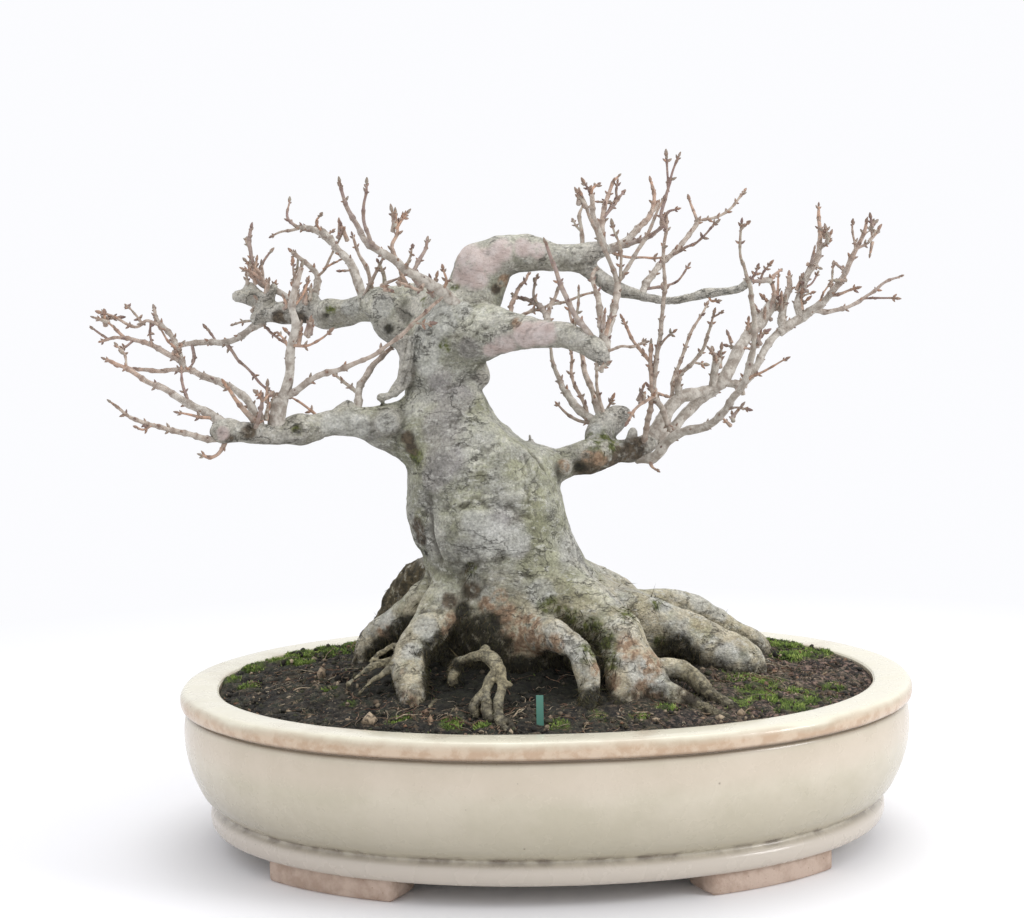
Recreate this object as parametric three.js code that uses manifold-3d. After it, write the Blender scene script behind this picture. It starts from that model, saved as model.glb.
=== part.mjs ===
// A trident maple grown as a small (shohin) bonsai, with its oval glazed pot.
//
// Units are millimetres and +Z is up. Everything is drawn about the middle of the pot, with the table
// at z = 0, +X to the right of the tree's front and +Y away from it. At the end the whole group is
// shifted so that the origin is the middle of the bounding box, on the table.
//
// The pieces are the pot and its four slab feet, the soil in it, the tree as one grown piece, a label
// stake, and under the soil a plastic screen over each drainage hole with the wire staple that holds it.

import * as THREE from "three";
import { mergeVertices } from "three/addons/utils/BufferGeometryUtils.js";
import Module from "manifold-3d";

// Driving dimensions of the pot: half its length and half its width over the rim
const POT_HALF_LENGTH = 135;
const POT_HALF_WIDTH = 105.3;
// Exponent of the superellipse that the oval follows, a little squarer than an ellipse
const OVAL_POWER = 2.08;
const OVAL_SEGMENTS = 48;
const DRAIN_HOLE_X = 48;
const DRAIN_HOLE_RADIUS = 9;
const FOOT_INSET = 13.5;
const FOOT_DEPTH = 15;
// Each foot runs between these angles of the oval, measured from the nearer end of the pot
const FOOT_ANGLES = [36, 65];
const FOOT_CORNER = 3;

// Driving dimensions of the soil
const SOIL_EDGE_Z = 56;
const SOIL_MOUND = 12;
const SOIL_SEGMENTS = 48;
// Gap that is kept between pieces that touch on the real thing
const GAP = 0.35;

// Label stake, drainage screens and staples
const STAKE = { x: -3, y: -78, width: 2.4, thickness: 0.9, top: 68.8, bottom: 46 };
const SCREEN = { size: 27, thickness: 1, hole: 4.2, pitch: 6 };
const STAPLE = { radius: 0.5, leg: 6, toe: 15 };

// Pot profile as [inset from the rim's outer edge, height]. The outside climbs from the underside
// over the bead, the swelling wall and the rolled lip; the inside comes down to the floor.
const POT_OUTSIDE = [
  [15, 7.6], [12, 8], [10.3, 10], [10.1, 13.6], [12.2, 16.2], [10.2, 18], [6.8, 22.3], [3.6, 29.5],
  [1.5, 38], [1.1, 45], [2, 51], [3, 52.4], [0.7, 53.4], [0, 56], [0.7, 58.2], [3, 59.3], [12, 59.1],
];
const POT_INSIDE = [[13.7, 58.3], [14, 56.8], [14, 42], [15.5, 29], [18.5, 19.5], [24.5, 14.6]];

// Sides of the wood's sections. A twig whose foot has a smaller radius than THIN_TWIG is three-sided.
const TRUNK_SIDES = 18;
const LIMB_SIDES = 8;
const THIN_TWIG = 1.3;

// The wood. A limb is a list of points [x, y, z, radius] that it grows through.
const TRUNK = [
  [-7, 4, 48, 31], [-8.5, 4, 70, 33.5], [-11.5, 3, 89, 31.5], [-16, 1, 104.5, 29.5],
  [-18, 0, 112.5, 28], [-21, 0, 125.5, 27.5], [-24.5, 0, 139.5, 24.5], [-30.5, 1, 153.5, 18.5],
  [-34.5, 3, 166, 15.5], [-35.5, 4, 179, 15], [-30.5, 4, 191, 13], [-23.5, 4, 200.5, 10.5],
  [-19.5, 4, 209, 10],
];
const LIMBS = [
  // The top bends over to the right
  [[-22, 4, 200.5, 9.5], [-20.5, 4, 209.5, 10], [-16.5, 4, 214.5, 8.5], [-9, 3, 215.5, 7],
    [-0.5, 1, 215.5, 6], [7, -1, 214, 5], [14.5, -3, 214, 5], [21, -4, 216, 3.5], [25.5, -4, 216.5, 2]],
  // Its lower fork, a long thin branch
  [[12, -2, 213.5, 4.5], [16.5, -4, 209, 4], [22, -6, 205.5, 3.5], [28, -8, 202.5, 3],
    [34.5, -11, 200.5, 2], [42, -14, 198.5, 1.5], [47.5, -17, 198, 1.5], [54, -20, 199, 1.5],
    [59.5, -23, 200.5, 2], [64.5, -26, 201, 1.5], [70.5, -29, 202, 1.5], [73.5, -31, 204.5, 1.5]],
  // Short limb that comes forward on the right
  [[-28, -2, 186.5, 12], [-19.5, -9, 188, 10], [-11.5, -15, 188, 7.5], [-3.5, -21, 188, 5.5],
    [4.5, -27, 187.5, 4], [9, -31, 187, 4.5], [15.5, -36, 184.5, 4], [19.5, -39, 182, 4],
    [22.5, -42, 178, 2]],
  // Upper left limb, which goes back
  [[-36.5, 10, 191, 11], [-44.5, 14, 197, 8.5], [-52, 18, 197, 7.5], [-59, 22, 197.5, 7],
    [-67, 27, 196.5, 5.5], [-74, 31, 194.5, 5.5], [-81, 35, 193.5, 5.5], [-89, 40, 195, 4.5],
    [-97.5, 44, 194.5, 4.5], [-104, 47, 194.5, 3.5], [-108.5, 49, 192.5, 3]],
  // Its knobby end
  [[-104, 47, 195, 3], [-108.5, 50, 198.5, 2.5], [-111.5, 52, 201, 3], [-114.5, 54, 202, 2]],
  // Lower left limb, with a row of knots
  [[-40.5, 0, 152, 14.5], [-49.5, -2, 154.5, 9], [-57, -4, 155, 7], [-63.5, -7, 155.5, 6],
    [-70, -10, 156, 5], [-77, -13, 156, 4.5], [-83, -16, 154.5, 5], [-88, -18, 154.5, 5],
    [-93.5, -21, 153.5, 4], [-99.5, -24, 153.5, 3.5], [-105, -27, 154.5, 3.5],
    [-109.5, -29, 155.5, 3], [-113, -31, 155.5, 4]],
  // Lower right limb
  [[-9.5, 0, 139.5, 14.5], [-1, 1, 138.5, 7], [5.5, 3, 137, 6], [11.5, 5, 138, 5.5],
    [17.5, 7, 139, 7], [23, 8, 139.5, 6], [29, 10, 141, 4.5], [35, 12, 141.5, 4.5],
    [41, 14, 144.5, 3.5]],
  // Its pruned stump
  [[21.5, 10, 142, 4.5], [23.5, 14, 150, 6], [27.5, 17, 153.5, 5], [31, 19, 155, 4]],
];
// Surface roots, from inside the trunk's flare down into the soil
const ROOTS = [
  // Left, the pale rounded root
  [[-38.5, 4, 93.5, 9], [-47, 6, 84.5, 6], [-53, 9, 78.5, 5.5], [-60, 11, 74.5, 5.5],
    [-65.5, 13, 69.5, 5], [-68.5, 14, 63.5, 4], [-71, 15, 58, 3]],
  // Left front
  [[-32.5, -12, 90.5, 9], [-39, -16, 83, 7.5], [-44.5, -20, 79, 7], [-49, -24, 74.5, 6.5],
    [-51.5, -28, 69, 4.5], [-53, -32, 61.5, 4.5]],
  // Knob at its foot
  [[-47.5, -34, 70, 3.5], [-47.5, -40, 63.5, 5], [-48, -44, 59.5, 4]],
  // Back left
  [[-33, 22, 95.5, 13], [-45, 28, 88.5, 11], [-53, 33, 80.5, 8.5], [-59.5, 38, 72.5, 6],
    [-67, 42, 64, 5.5], [-72, 45, 56.5, 4]],
  // Arch that drapes to the front of the soil
  [[-25.5, -20, 81.5, 5], [-24, -33, 78, 3.5], [-21, -41, 76, 2.5], [-18.5, -47, 73.5, 2.5],
    [-17.5, -54, 70.5, 2.5], [-18, -62, 66, 2], [-18, -70, 61.5, 2], [-15.5, -78, 58.5, 1.5],
    [-13, -84, 56.5, 1]],
  // Its strands
  [[-18.5, -49, 72.5, 2], [-20.5, -54, 68, 2.5], [-22.5, -60, 64.5, 2], [-24.5, -66, 61, 1.5]],
  [[-21, -55, 68, 1.5], [-21, -62, 63.5, 1.5], [-22, -68, 60, 1]],
  // Hooked root at the front
  [[-10.5, -22, 91.5, 9.5], [-6, -32, 84.5, 5.5], [-0.5, -40, 80.5, 4.5], [5.5, -46, 79, 4],
    [10.5, -50, 76.5, 5], [13.5, -54, 71, 4.5], [14, -57, 64.5, 3.5]],
  // Big front right root
  [[6, -14, 93.5, 14.5], [17, -24, 88.5, 12], [25, -34, 80.5, 8.5], [30.5, -42, 72, 9],
    [37.5, -48, 65.5, 7], [44.5, -52, 64, 5.5], [51, -56, 61.5, 4], [56.5, -60, 56.5, 2.5],
    [61, -63, 55, 1.5]],
  // Its ankle
  [[26, -40, 79.5, 8], [26.5, -47, 71, 7], [26, -54, 61.5, 6], [22, -58, 56.5, 3.5]],
  // Its finger
  [[43.5, -47, 69.5, 3], [50.5, -49, 67, 3], [56, -51, 63.5, 2.5], [60.5, -53, 60.5, 2.5],
    [64, -54, 58.5, 2]],
  // Long root to the right
  [[12, 4, 92.5, 13.5], [24.5, 2, 85, 12.5], [35.5, 0, 80, 10.5], [46, -2, 76.5, 8],
    [55, -6, 72.5, 9.5], [62.5, -9, 68.5, 9.5], [71, -10, 66.5, 8], [76, -9, 63.5, 5.5],
    [78.5, -9, 57.5, 3]],
  // The ridge behind it
  [[18, 14, 88.5, 11.5], [33, 18, 82, 7.5], [45, 22, 81.5, 6], [56.5, 26, 79, 5.5], [65, 28, 74.5, 5],
    [73, 30, 69, 5], [79.5, 31, 65, 5], [84, 32, 60, 4.5], [85.5, 32, 53.5, 3]],
  // Back right
  [[7, 24, 93, 15.5], [22.5, 36, 85, 10], [34.5, 48, 74, 8], [45, 58, 64.5, 5.5], [52.5, 66, 58, 3]],
  // Back
  [[-8.5, 20, 94, 19], [-14.5, 36, 85.5, 13], [-20.5, 50, 74.5, 9.5], [-26.5, 62, 64.5, 6.5],
    [-30, 72, 57, 3.5]],
  // Heel under the right roots
  [[6, 6, 77, 22.5], [31.5, 8, 70.5, 16], [55, 8, 65.5, 13], [72.5, 6, 59, 9], [83, 4, 55, 5]],
  // Heel under the left roots
  [[-35, 8, 79.5, 23.5], [-49.5, 10, 71.5, 13.5], [-60.5, 12, 65.5, 9], [-69, 13, 59, 5.5]],
];

// A twig is drawn in the front view and leans from one depth to another:
// [radius at the foot, radius at the tip, y at the foot, y at the tip, [x, z], [x, z], ...].
// Twigs of the upper left limb and of the trunk's shoulder
const TOP_LEFT_TWIGS = [
  [1.9, 0.95, 25, 48, [-64.5, 197], [-70, 211.5], [-76, 219], [-82, 225.5], [-91.5, 227.5]],
  [0.7, 0.35, 48, 54, [-91, 227], [-97.5, 225.5], [-102, 224]],
  [0.7, 0.35, 48, 60, [-91.5, 227], [-96, 231], [-96, 237.5]],
  [0.5, 0.35, 42, 34, [-82, 225.5], [-84, 229], [-82, 231.5]],
  [2.2, 0.5, -7, -34, [-29, 197.5], [-38, 205], [-45.5, 210], [-52, 215], [-59.5, 220], [-64, 227.5],
    [-67, 234], [-68.5, 241.5]],
  [0.9, 0.4, -21, -40, [-56.5, 218], [-59.5, 222.5], [-60.5, 230.5], [-58.5, 241]],
  [0.8, 0.4, -17, -8, [-50, 213.5], [-52, 219.5], [-50, 225], [-50.5, 231]],
  [0.9, 0.45, -14, -2, [-45, 209.5], [-43, 213.5], [-41, 217.5], [-40, 221]],
  [0.6, 0.35, -16, -28, [-47, 211], [-45.5, 215], [-44, 219]],
  [0.8, 0.4, -12, -26, [-40.5, 206.5], [-43, 203.5], [-46.5, 205], [-49, 206.5]],
  [0.6, 0.35, -9, -16, [-35, 202], [-33, 206], [-33.5, 211]],
  [1, 0.45, 24, 14, [-62, 199.5], [-63, 208.5], [-66, 216.5], [-68, 223.5]],
  [0.9, 0.5, 30, 8, [-73, 195], [-67.5, 197.5], [-63, 204.5], [-59.5, 210.5], [-56.5, 215.5]],
  [1.5, 0.7, 39, 52, [-86.5, 197.5], [-85, 203], [-85, 209], [-89.5, 214], [-94.5, 218]],
  [0.6, 0.4, 45, 40, [-85, 207.5], [-81.5, 211.5], [-78, 217.5], [-74, 224.5]],
  [0.5, 0.35, 43, 38, [-82, 211], [-77.5, 213.5], [-74.5, 215]],
  [0.5, 0.35, 50, 56, [-92, 215.5], [-93.5, 211], [-95.5, 206]],
  [1.4, 0.65, 42, 58, [-93, 196.5], [-96, 200], [-101.5, 203.5], [-107, 205.5], [-110, 210.5],
    [-111.5, 219], [-111, 227]],
  [0.8, 0.4, 48, 42, [-104, 204], [-107.5, 209], [-112.5, 211.5]],
  [0.6, 0.4, 52, 60, [-109, 209], [-107, 214], [-104, 218]],
  [0.5, 0.35, 55, 64, [-111.5, 219], [-114, 223]],
  [1.1, 0.45, 21, 10, [-57, 202], [-57, 208.5], [-58.5, 213.5]],
  [1.6, 1.05, 48, 62, [-106, 191], [-112, 188], [-118, 184.5], [-126, 183], [-135.5, 182.5],
    [-143, 181.5]],
  [0.7, 0.4, 59, 52, [-136, 182.5], [-135, 177], [-136, 174]],
  [0.6, 0.35, 57, 62, [-126, 183], [-130.5, 188.5]],
  [0.7, 0.4, 56, 40, [-123, 184], [-116, 175.5], [-108.5, 168], [-101, 163]],
  [0.5, 0.4, 49, 40, [-108.5, 192.5], [-101, 185], [-96.5, 182.5]],
  [0.6, 0.4, 49, 56, [-107, 191.5], [-114.5, 191], [-119, 190]],
];
// Twigs of the lower left limb
const LOW_LEFT_TWIGS = [
  [1.2, 0.4, -31, -52, [-113, 153], [-118.5, 153.5], [-124.5, 156], [-133, 158.5], [-139.5, 161.5],
    [-143, 164], [-147, 168]],
  [1.8, 0.55, -30, -18, [-111.5, 158], [-117, 161], [-124.5, 165], [-133.5, 170.5], [-141, 173.5],
    [-147.5, 177.5], [-155, 181]],
  [0.6, 0.35, -29, -34, [-115.5, 160], [-121.5, 161], [-127.5, 163]],
  [0.6, 0.4, -26, -20, [-125, 165.5], [-127, 172], [-128, 177]],
  [0.5, 0.35, -20, -12, [-147.5, 177.5], [-149, 183], [-152, 185.5]],
  [1.6, 0.55, -24, 6, [-99, 153.5], [-105.5, 166.5], [-114.5, 172], [-123, 174.5], [-129, 176.5],
    [-138.5, 175.5], [-148.5, 176.5], [-154.5, 177.5]],
  [1.2, 0.65, -7, 14, [-129, 176.5], [-132, 183], [-136, 189], [-140.5, 193.5], [-143, 198]],
  [1.1, 0.55, -5, 20, [-130, 179], [-139, 183], [-147.5, 186.5], [-156, 187.5], [-164, 186]],
  [0.6, 0.35, 13, 20, [-154, 187.5], [-159, 191.5], [-162.5, 194]],
  [0.5, 0.35, 9, 2, [-150, 186.5], [-152, 184.5], [-153, 183.5]],
  [0.7, 0.4, 6, 22, [-138.5, 191.5], [-144.5, 193.5], [-150, 191.5], [-156.5, 194], [-164, 196.5]],
  [0.5, 0.35, 12, 26, [-147, 192.5], [-151, 196], [-155.5, 199]],
  [0.5, 0.35, -2, -8, [-132.5, 183.5], [-134.5, 187], [-136.5, 190.5]],
  [1.1, 0.5, -25, -34, [-100.5, 156.5], [-104.5, 162.5], [-107.5, 167], [-110.5, 172.5]],
  [2.3, 1, -21, -26, [-94, 153.5], [-92.5, 163.5], [-90.5, 170], [-89, 177], [-88, 185], [-86.5, 192],
    [-87.5, 199], [-85.5, 206], [-83.5, 212.5]],
  [0.6, 0.35, -24, -32, [-88, 185], [-82, 185], [-77.5, 187.5], [-74, 190]],
  [0.5, 0.35, -25, -18, [-87.5, 198], [-83.5, 202.5], [-82, 207.5]],
  [0.6, 0.35, -23, -16, [-88, 182.5], [-91, 186.5], [-93.5, 189]],
  [1.3, 0.55, -22, -46, [-92, 166], [-84.5, 170.5], [-78.5, 174], [-71, 176.5], [-64.5, 179],
    [-57, 182.5], [-48.5, 188.5], [-43, 193.5], [-35, 200.5]],
  [0.6, 0.35, -14, -12, [-79, 157.5], [-82.5, 160.5], [-87, 164], [-90.5, 166]],
  [0.9, 0.55, -26, -34, [-103, 154], [-100.5, 157.5], [-98.5, 163.5], [-98, 167.5]],
  [0.5, 0.35, -33, -38, [-98, 166], [-99.5, 169.5]],
  [0.5, 0.35, -33, -30, [-98, 166], [-95.5, 168]],
  [1.6, 0.75, -8, 14, [-66.5, 159.5], [-66.5, 166], [-64, 171], [-60, 177], [-54, 182]],
  [0.8, 0.45, -2, 6, [-66.5, 166], [-71, 169], [-76, 172.5]],
  [0.8, 0.55, -30, -34, [-111, 155.5], [-113.5, 148.5], [-116.5, 146.5], [-119.5, 147.5]],
];
// Twigs of the lower right limb, which fan out to the right
const RIGHT_TWIGS = [
  [3.2, 1.7, 14, 24, [40.5, 144.5], [45, 150], [48.5, 156], [53, 160.5], [58.5, 161.5], [64.5, 163],
    [70, 165.5]],
  [1.7, 1.6, 23, 20, [66, 163.5], [66, 169.5], [67.5, 175.5]],
  [2.4, 2.15, 24, 34, [68.5, 165], [73, 171.5], [77, 178], [81, 184]],
  [1.6, 0.9, 19, 12, [52.5, 160], [52, 166], [52.5, 169.5]],
  [0.9, 0.45, 12, -2, [52.5, 169.5], [57, 174.5], [61, 179.5], [63, 186.5], [64, 192.5]],
  [0.8, 0.45, 18, 36, [49.5, 156.5], [51, 167], [55, 175.5], [58, 183.5], [62, 189], [65, 194]],
  [2.2, 1.9, 14, 30, [44, 145], [50, 148.5], [55.5, 154], [61, 159], [68, 163]],
  [2.1, 1.15, 12, -16, [36, 138.5], [42, 139.5], [47, 145], [52, 149], [60, 151], [64.5, 155],
    [68.5, 160.5], [72, 165.5]],
  [1.4, 0.4, -16, -42, [72, 165.5], [75, 174], [76, 182], [76, 190], [75, 196.5], [74, 203],
    [71.5, 209.5], [69.5, 215.5], [70, 224.5]],
  [0.6, 0.35, -17, -28, [73.5, 169], [77.5, 171], [82.5, 174], [87, 176.5]],
  [0.5, 0.35, -10, -20, [67, 158], [70.5, 159], [74, 159]],
  [0.7, 0.35, 9, 4, [40.5, 139.5], [41, 136], [43, 134.5]],
  [1.5, 1.4, 24, 34, [69.5, 165.5], [78, 165.5], [83, 171], [87, 178], [92.5, 183.5]],
  [1.9, 1.75, 34, 36, [92.5, 183.5], [97, 186], [101.5, 188.5]],
  [1.7, 0.55, 36, 22, [101.5, 188.5], [106.5, 192.5], [111, 196.5], [114.5, 201.5], [118, 208.5],
    [120.5, 214.5], [123, 220.5], [124, 224.5]],
  [0.5, 0.35, 26, 18, [120.5, 214], [119, 219], [118.5, 224]],
  [0.6, 0.35, 26, 34, [120.5, 214.5], [126.5, 217.5], [128.5, 224]],
  [1.1, 0.45, 35, 50, [105, 191.5], [112.5, 191], [120, 192.5], [125.5, 195], [131, 198.5],
    [136.5, 202], [142, 203.5]],
  [0.8, 0.4, 32, 26, [111.5, 197], [116, 198], [120.5, 200]],
  [0.5, 0.35, 31, 38, [112, 197.5], [113, 203], [114, 208.5]],
  [1.9, 0.5, 36, 52, [101.5, 188.5], [100.5, 194.5], [102.5, 200], [105.5, 206], [109, 212],
    [110.5, 218.5], [110.5, 225.5], [110.5, 231.5]],
  [0.9, 0.7, 46, 42, [110, 215], [113, 217.5]],
  [0.5, 0.35, 40, 48, [102, 199.5], [106.5, 201], [109, 205]],
  [2.7, 1.55, 34, 38, [81, 184], [85.5, 187.5], [88.5, 191.5], [92.5, 195]],
  [1.7, 0.85, 34, 44, [94, 184], [94.5, 193.5], [97, 199.5], [98, 204.5]],
  [1, 0.6, 37, 32, [90.5, 193], [90.5, 199], [89, 203.5]],
  [1.4, 0.6, 32, 28, [89, 203.5], [85, 203.5], [82, 203.5]],
  [0.6, 0.35, 30, 24, [85, 203.5], [86, 207], [88, 209.5]],
  [0.7, 0.45, 32, 40, [89, 203.5], [91.5, 205.5], [94, 207]],
  [0.6, 0.4, 38, 46, [92.5, 194.5], [93, 200], [94, 205]],
  [0.6, 0.35, -31, -36, [73.5, 204.5], [75.5, 207], [76, 209]],
];
// Twigs that stand between the lower right limb and the front limb
const STUMP_TWIGS = [
  [1.1, 0.85, 12, -6, [38, 142.5], [39.5, 151.5], [40.5, 157.5], [41.5, 163]],
  [0.9, 0.7, -6, -12, [41.5, 163], [40.5, 171], [40.5, 182.5]],
  [0.8, 0.45, -10, 0, [40.5, 175.5], [37.5, 179], [34, 184], [31, 191]],
  [1.1, 0.95, -6, 8, [41.5, 163], [45, 157], [48.5, 149]],
  [0.7, 0.45, -6, -14, [41.5, 163], [38, 161], [34, 158], [31.5, 155]],
  [0.9, 0.5, -7, -36, [41.5, 166], [43, 181], [43.5, 191], [44.5, 202], [44, 214.5], [44.5, 225.5]],
  [0.5, 0.35, -13, -20, [42.5, 180.5], [45, 184.5], [47.5, 187]],
  [0.7, 0.4, -35, -46, [44.5, 223.5], [42.5, 228.5], [44.5, 234.5], [46, 241.5], [48.5, 247.5]],
  [0.5, 0.35, -41, -36, [45, 236], [45, 242], [45, 248]],
  [1.9, 1.3, 14, 24, [23.5, 150], [16, 156], [12.5, 160], [9, 165]],
  [1.1, 0.55, 24, 34, [9, 165], [8, 168], [6, 174], [5, 180]],
  [0.8, 0.5, 16, 32, [18.5, 154], [16, 161], [13, 167.5], [12.5, 177.5]],
  [1.3, 0.85, 15, 28, [22.5, 154.5], [20, 163], [17.5, 171], [16, 179.5]],
  [0.8, 0.5, 15, 6, [25, 151.5], [21.5, 165], [21.5, 175]],
  [0.7, 0.4, 14, 22, [23.5, 150], [13, 154], [9.5, 156], [7, 158.5]],
  [0.6, 0.35, 17, 14, [25, 155.5], [26, 158.5], [27, 161]],
];
// Twigs of the short front limb
const FRONT_TWIGS = [
  [1.6, 0.85, -42, -30, [22.5, 178], [22, 186], [21, 195], [20, 202.5]],
  [0.8, 0.55, -30, -22, [20, 202], [19, 207.5], [20, 209.5]],
  [1.4, 1.15, -39, -22, [23, 182], [24, 188.5], [26.5, 196], [28, 204.5]],
  [0.9, 0.4, -22, -34, [28, 204.5], [25.5, 212], [22, 220], [18, 228.5], [15.5, 235.5]],
  [0.9, 0.45, -22, -12, [28, 204.5], [33.5, 212.5], [38.5, 220], [42.5, 228], [45.5, 234]],
  [0.6, 0.35, -22, -30, [29, 205.5], [29.5, 214.5], [28, 220.5], [26.5, 225]],
  [1.2, 0.55, -39, -30, [21.5, 182], [15.5, 189.5], [12, 195.5], [8.5, 203], [5.5, 211.5],
    [2.5, 219.5]],
  [0.6, 0.4, -40, -52, [22.5, 181.5], [27.5, 183], [32, 183.5], [35.5, 185]],
  [0.7, 0.5, -15, 18, [-7.5, 193], [0.5, 195.5], [9.5, 197.5], [20.5, 200.5]],
  [1.4, 0.6, -26, 8, [3.5, 190], [2, 194], [-1, 197.5], [-8.5, 200]],
  [0.9, 0.5, -17, 4, [2.5, 193], [5.5, 198.5], [8.5, 203.5]],
  [0.7, 0.4, -5, 8, [-0.5, 197], [-1.5, 201.5], [0, 207]],
  [0.9, 0.45, -15, 14, [-10.5, 193], [-9, 199.5], [-6.5, 204], [-3.5, 207.5]],
  [0.6, 0.35, -33, -20, [12.5, 188], [11, 194], [10, 199.5]],
  [0.5, 0.35, -33, -26, [12, 186], [13.5, 196.5], [14, 202.5]],
];
// Twigs of the bent top
const APEX_TWIGS = [
  [1.7, 0.8, -4, -16, [25, 215.5], [23, 221.5], [21, 226.5], [20, 231.5], [19.5, 236]],
  [0.5, 0.35, -15, -19, [19.5, 235], [18.5, 237.5], [17, 240]],
  [0.5, 0.35, -16, -12, [19.5, 235.5], [20, 238], [22, 239.5]],
  [0.9, 0.45, -3, 6, [16.5, 217.5], [16.5, 223], [16, 229], [17, 232.5]],
  [1.2, 0.4, -4, 8, [24.5, 216.5], [24, 223.5], [24.5, 230], [26.5, 236.5], [28.5, 241], [30.5, 243]],
  [0.7, 0.35, 0, 12, [24.5, 228], [28, 232.5], [30.5, 235], [32.5, 237]],
  [0.5, 0.35, 7, 5, [30, 234.5], [29.5, 237.5], [30, 240.5]],
  [1.2, 0.45, -4, -20, [25, 215.5], [30.5, 218], [35.5, 219.5], [40.5, 221], [44.5, 224.5],
    [46.5, 229], [49.5, 230.5]],
  [1.5, 0.5, -4, 16, [26.5, 217], [33.5, 220.5], [38.5, 225], [42, 229], [43.5, 234.5], [43, 241.5]],
  [0.8, 0.6, 8, 12, [41.5, 228.5], [44, 231.5], [45, 233]],
  [0.6, 0.4, -4, 6, [25, 216.5], [32, 214], [39.5, 213], [46.5, 213.5]],
  [1.4, 0.75, -12, 16, [37, 200], [40.5, 206], [44.5, 211], [49.5, 214.5], [54.5, 219], [60.5, 226.5]],
  [0.7, 0.35, 16, 22, [60, 226.5], [59, 230.5], [58, 234.5]],
  [0.6, 0.4, 16, 26, [60, 226.5], [67, 227.5], [72.5, 230.5], [76, 234], [78.5, 237]],
  [0.7, 0.35, 5, -10, [49.5, 214], [54.5, 217], [59.5, 220], [64.5, 225]],
  [0.6, 0.35, -10, -4, [38.5, 202], [45.5, 203], [51, 205], [54.5, 210]],
];
const TWIGS = [
  ...TOP_LEFT_TWIGS, ...LOW_LEFT_TWIGS, ...RIGHT_TWIGS, ...STUMP_TWIGS, ...FRONT_TWIGS, ...APEX_TWIGS,
];

const material = (color, roughness) => new THREE.MeshStandardMaterial({ color, roughness, metalness: 0 });
const GLAZE = material(0xd9d3b8, 0.35);
const BARE_CLAY = material(0xcdb2a0, 0.8);
const BARK = material(0x8f8d80, 0.85);
const SOIL = material(0x2f2721, 0.95);
const TEAL_PLASTIC = material(0x4f9d8c, 0.5);
const BLACK_PLASTIC = material(0x1d1d1d, 0.6);
const WIRE = new THREE.MeshStandardMaterial({ color: 0xb7b9bb, roughness: 0.4, metalness: 1 });

const wasm = await Module();
wasm.setup();

// Turns a closed three.js geometry into a solid that can be joined and cut.
function solid(geometry) {
  const bare = geometry.clone();
  bare.deleteAttribute("normal");
  bare.deleteAttribute("uv");
  const merged = mergeVertices(bare, 1e-4);
  return new wasm.Manifold(new wasm.Mesh({
    numProp: 3,
    vertProperties: new Float32Array(merged.attributes.position.array),
    triVerts: new Uint32Array(merged.index.array),
  }));
}

// Turns a solid back into a named mesh.
function piece(name, body, surface) {
  const { vertProperties, triVerts } = body.getMesh();
  const geometry = new THREE.BufferGeometry();
  geometry.setAttribute("position", new THREE.BufferAttribute(vertProperties, 3));
  geometry.setIndex(new THREE.BufferAttribute(triVerts, 1));
  geometry.computeVertexNormals();
  const mesh = new THREE.Mesh(geometry, surface);
  mesh.name = name;
  return mesh;
}

// Closed geometry over a stack of rings with equal numbers of points, each end closed by a fan.
function stackGeometry(rings, firstCentre, lastCentre) {
  const sides = rings[0].length;
  const points = [...rings.flat(), firstCentre, lastCentre];
  const first = points.length - 2;
  const last = points.length - 1;
  const top = (rings.length - 1) * sides;
  const index = [];
  for (let i = 0; i < sides; i++) {
    const next = (i + 1) % sides;
    for (let row = 0; row < top; row += sides) {
      index.push(row + i, row + next, row + sides + next, row + i, row + sides + next, row + sides + i);
    }
    index.push(first, next, i, last, top + i, top + next);
  }
  const geometry = new THREE.BufferGeometry().setFromPoints(points);
  geometry.setIndex(index);
  return geometry;
}

// The pot's oval at an angle, inset from the rim's outer edge.
function ovalPoint(inset, angle, z) {
  const power = 2 / OVAL_POWER;
  const c = Math.cos(angle);
  const s = Math.sin(angle);
  return new THREE.Vector3(
    (POT_HALF_LENGTH - inset) * Math.sign(c) * Math.abs(c) ** power,
    (POT_HALF_WIDTH - inset) * Math.sign(s) * Math.abs(s) ** power,
    z,
  );
}

function ovalRing(inset, z, segments = OVAL_SEGMENTS) {
  return Array.from({ length: segments }, (_, i) => ovalPoint(inset, (2 * Math.PI * i) / segments, z));
}

const middle = (z) => new THREE.Vector3(0, 0, z);

// A drainage hole's drill, long enough to pass through the floor.
function drill(x) {
  const geometry = new THREE.CylinderGeometry(DRAIN_HOLE_RADIUS, DRAIN_HOLE_RADIUS, 30, 20);
  geometry.rotateX(Math.PI / 2).translate(x, 0, 10);
  return solid(geometry);
}

// A slab of clay that stands under the bead and follows the oval, with its lower corners rounded off.
function makeFoot(startDegrees) {
  const top = POT_OUTSIDE[0][1] - GAP;
  const endDegrees = startDegrees + FOOT_ANGLES[1] - FOOT_ANGLES[0];
  const steps = 10;
  const sections = [];
  for (let i = 0; i <= steps; i++) {
    const share = i / steps;
    const angle = THREE.MathUtils.degToRad(THREE.MathUtils.lerp(startDegrees, endDegrees, share));
    const fromEnd = Math.min(share, 1 - share) * steps;
    const lift = FOOT_CORNER * Math.max(0, 1 - fromEnd) ** 2;
    sections.push([
      ovalPoint(FOOT_INSET, angle, top),
      ovalPoint(FOOT_INSET, angle, lift),
      ovalPoint(FOOT_INSET + FOOT_DEPTH, angle, lift),
      ovalPoint(FOOT_INSET + FOOT_DEPTH, angle, top),
    ]);
  }
  const centre = (section) => section.reduce((sum, p) => sum.add(p), new THREE.Vector3()).divideScalar(4);
  return solid(stackGeometry(sections, centre(sections[0]), centre(sections[steps])));
}

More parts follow.
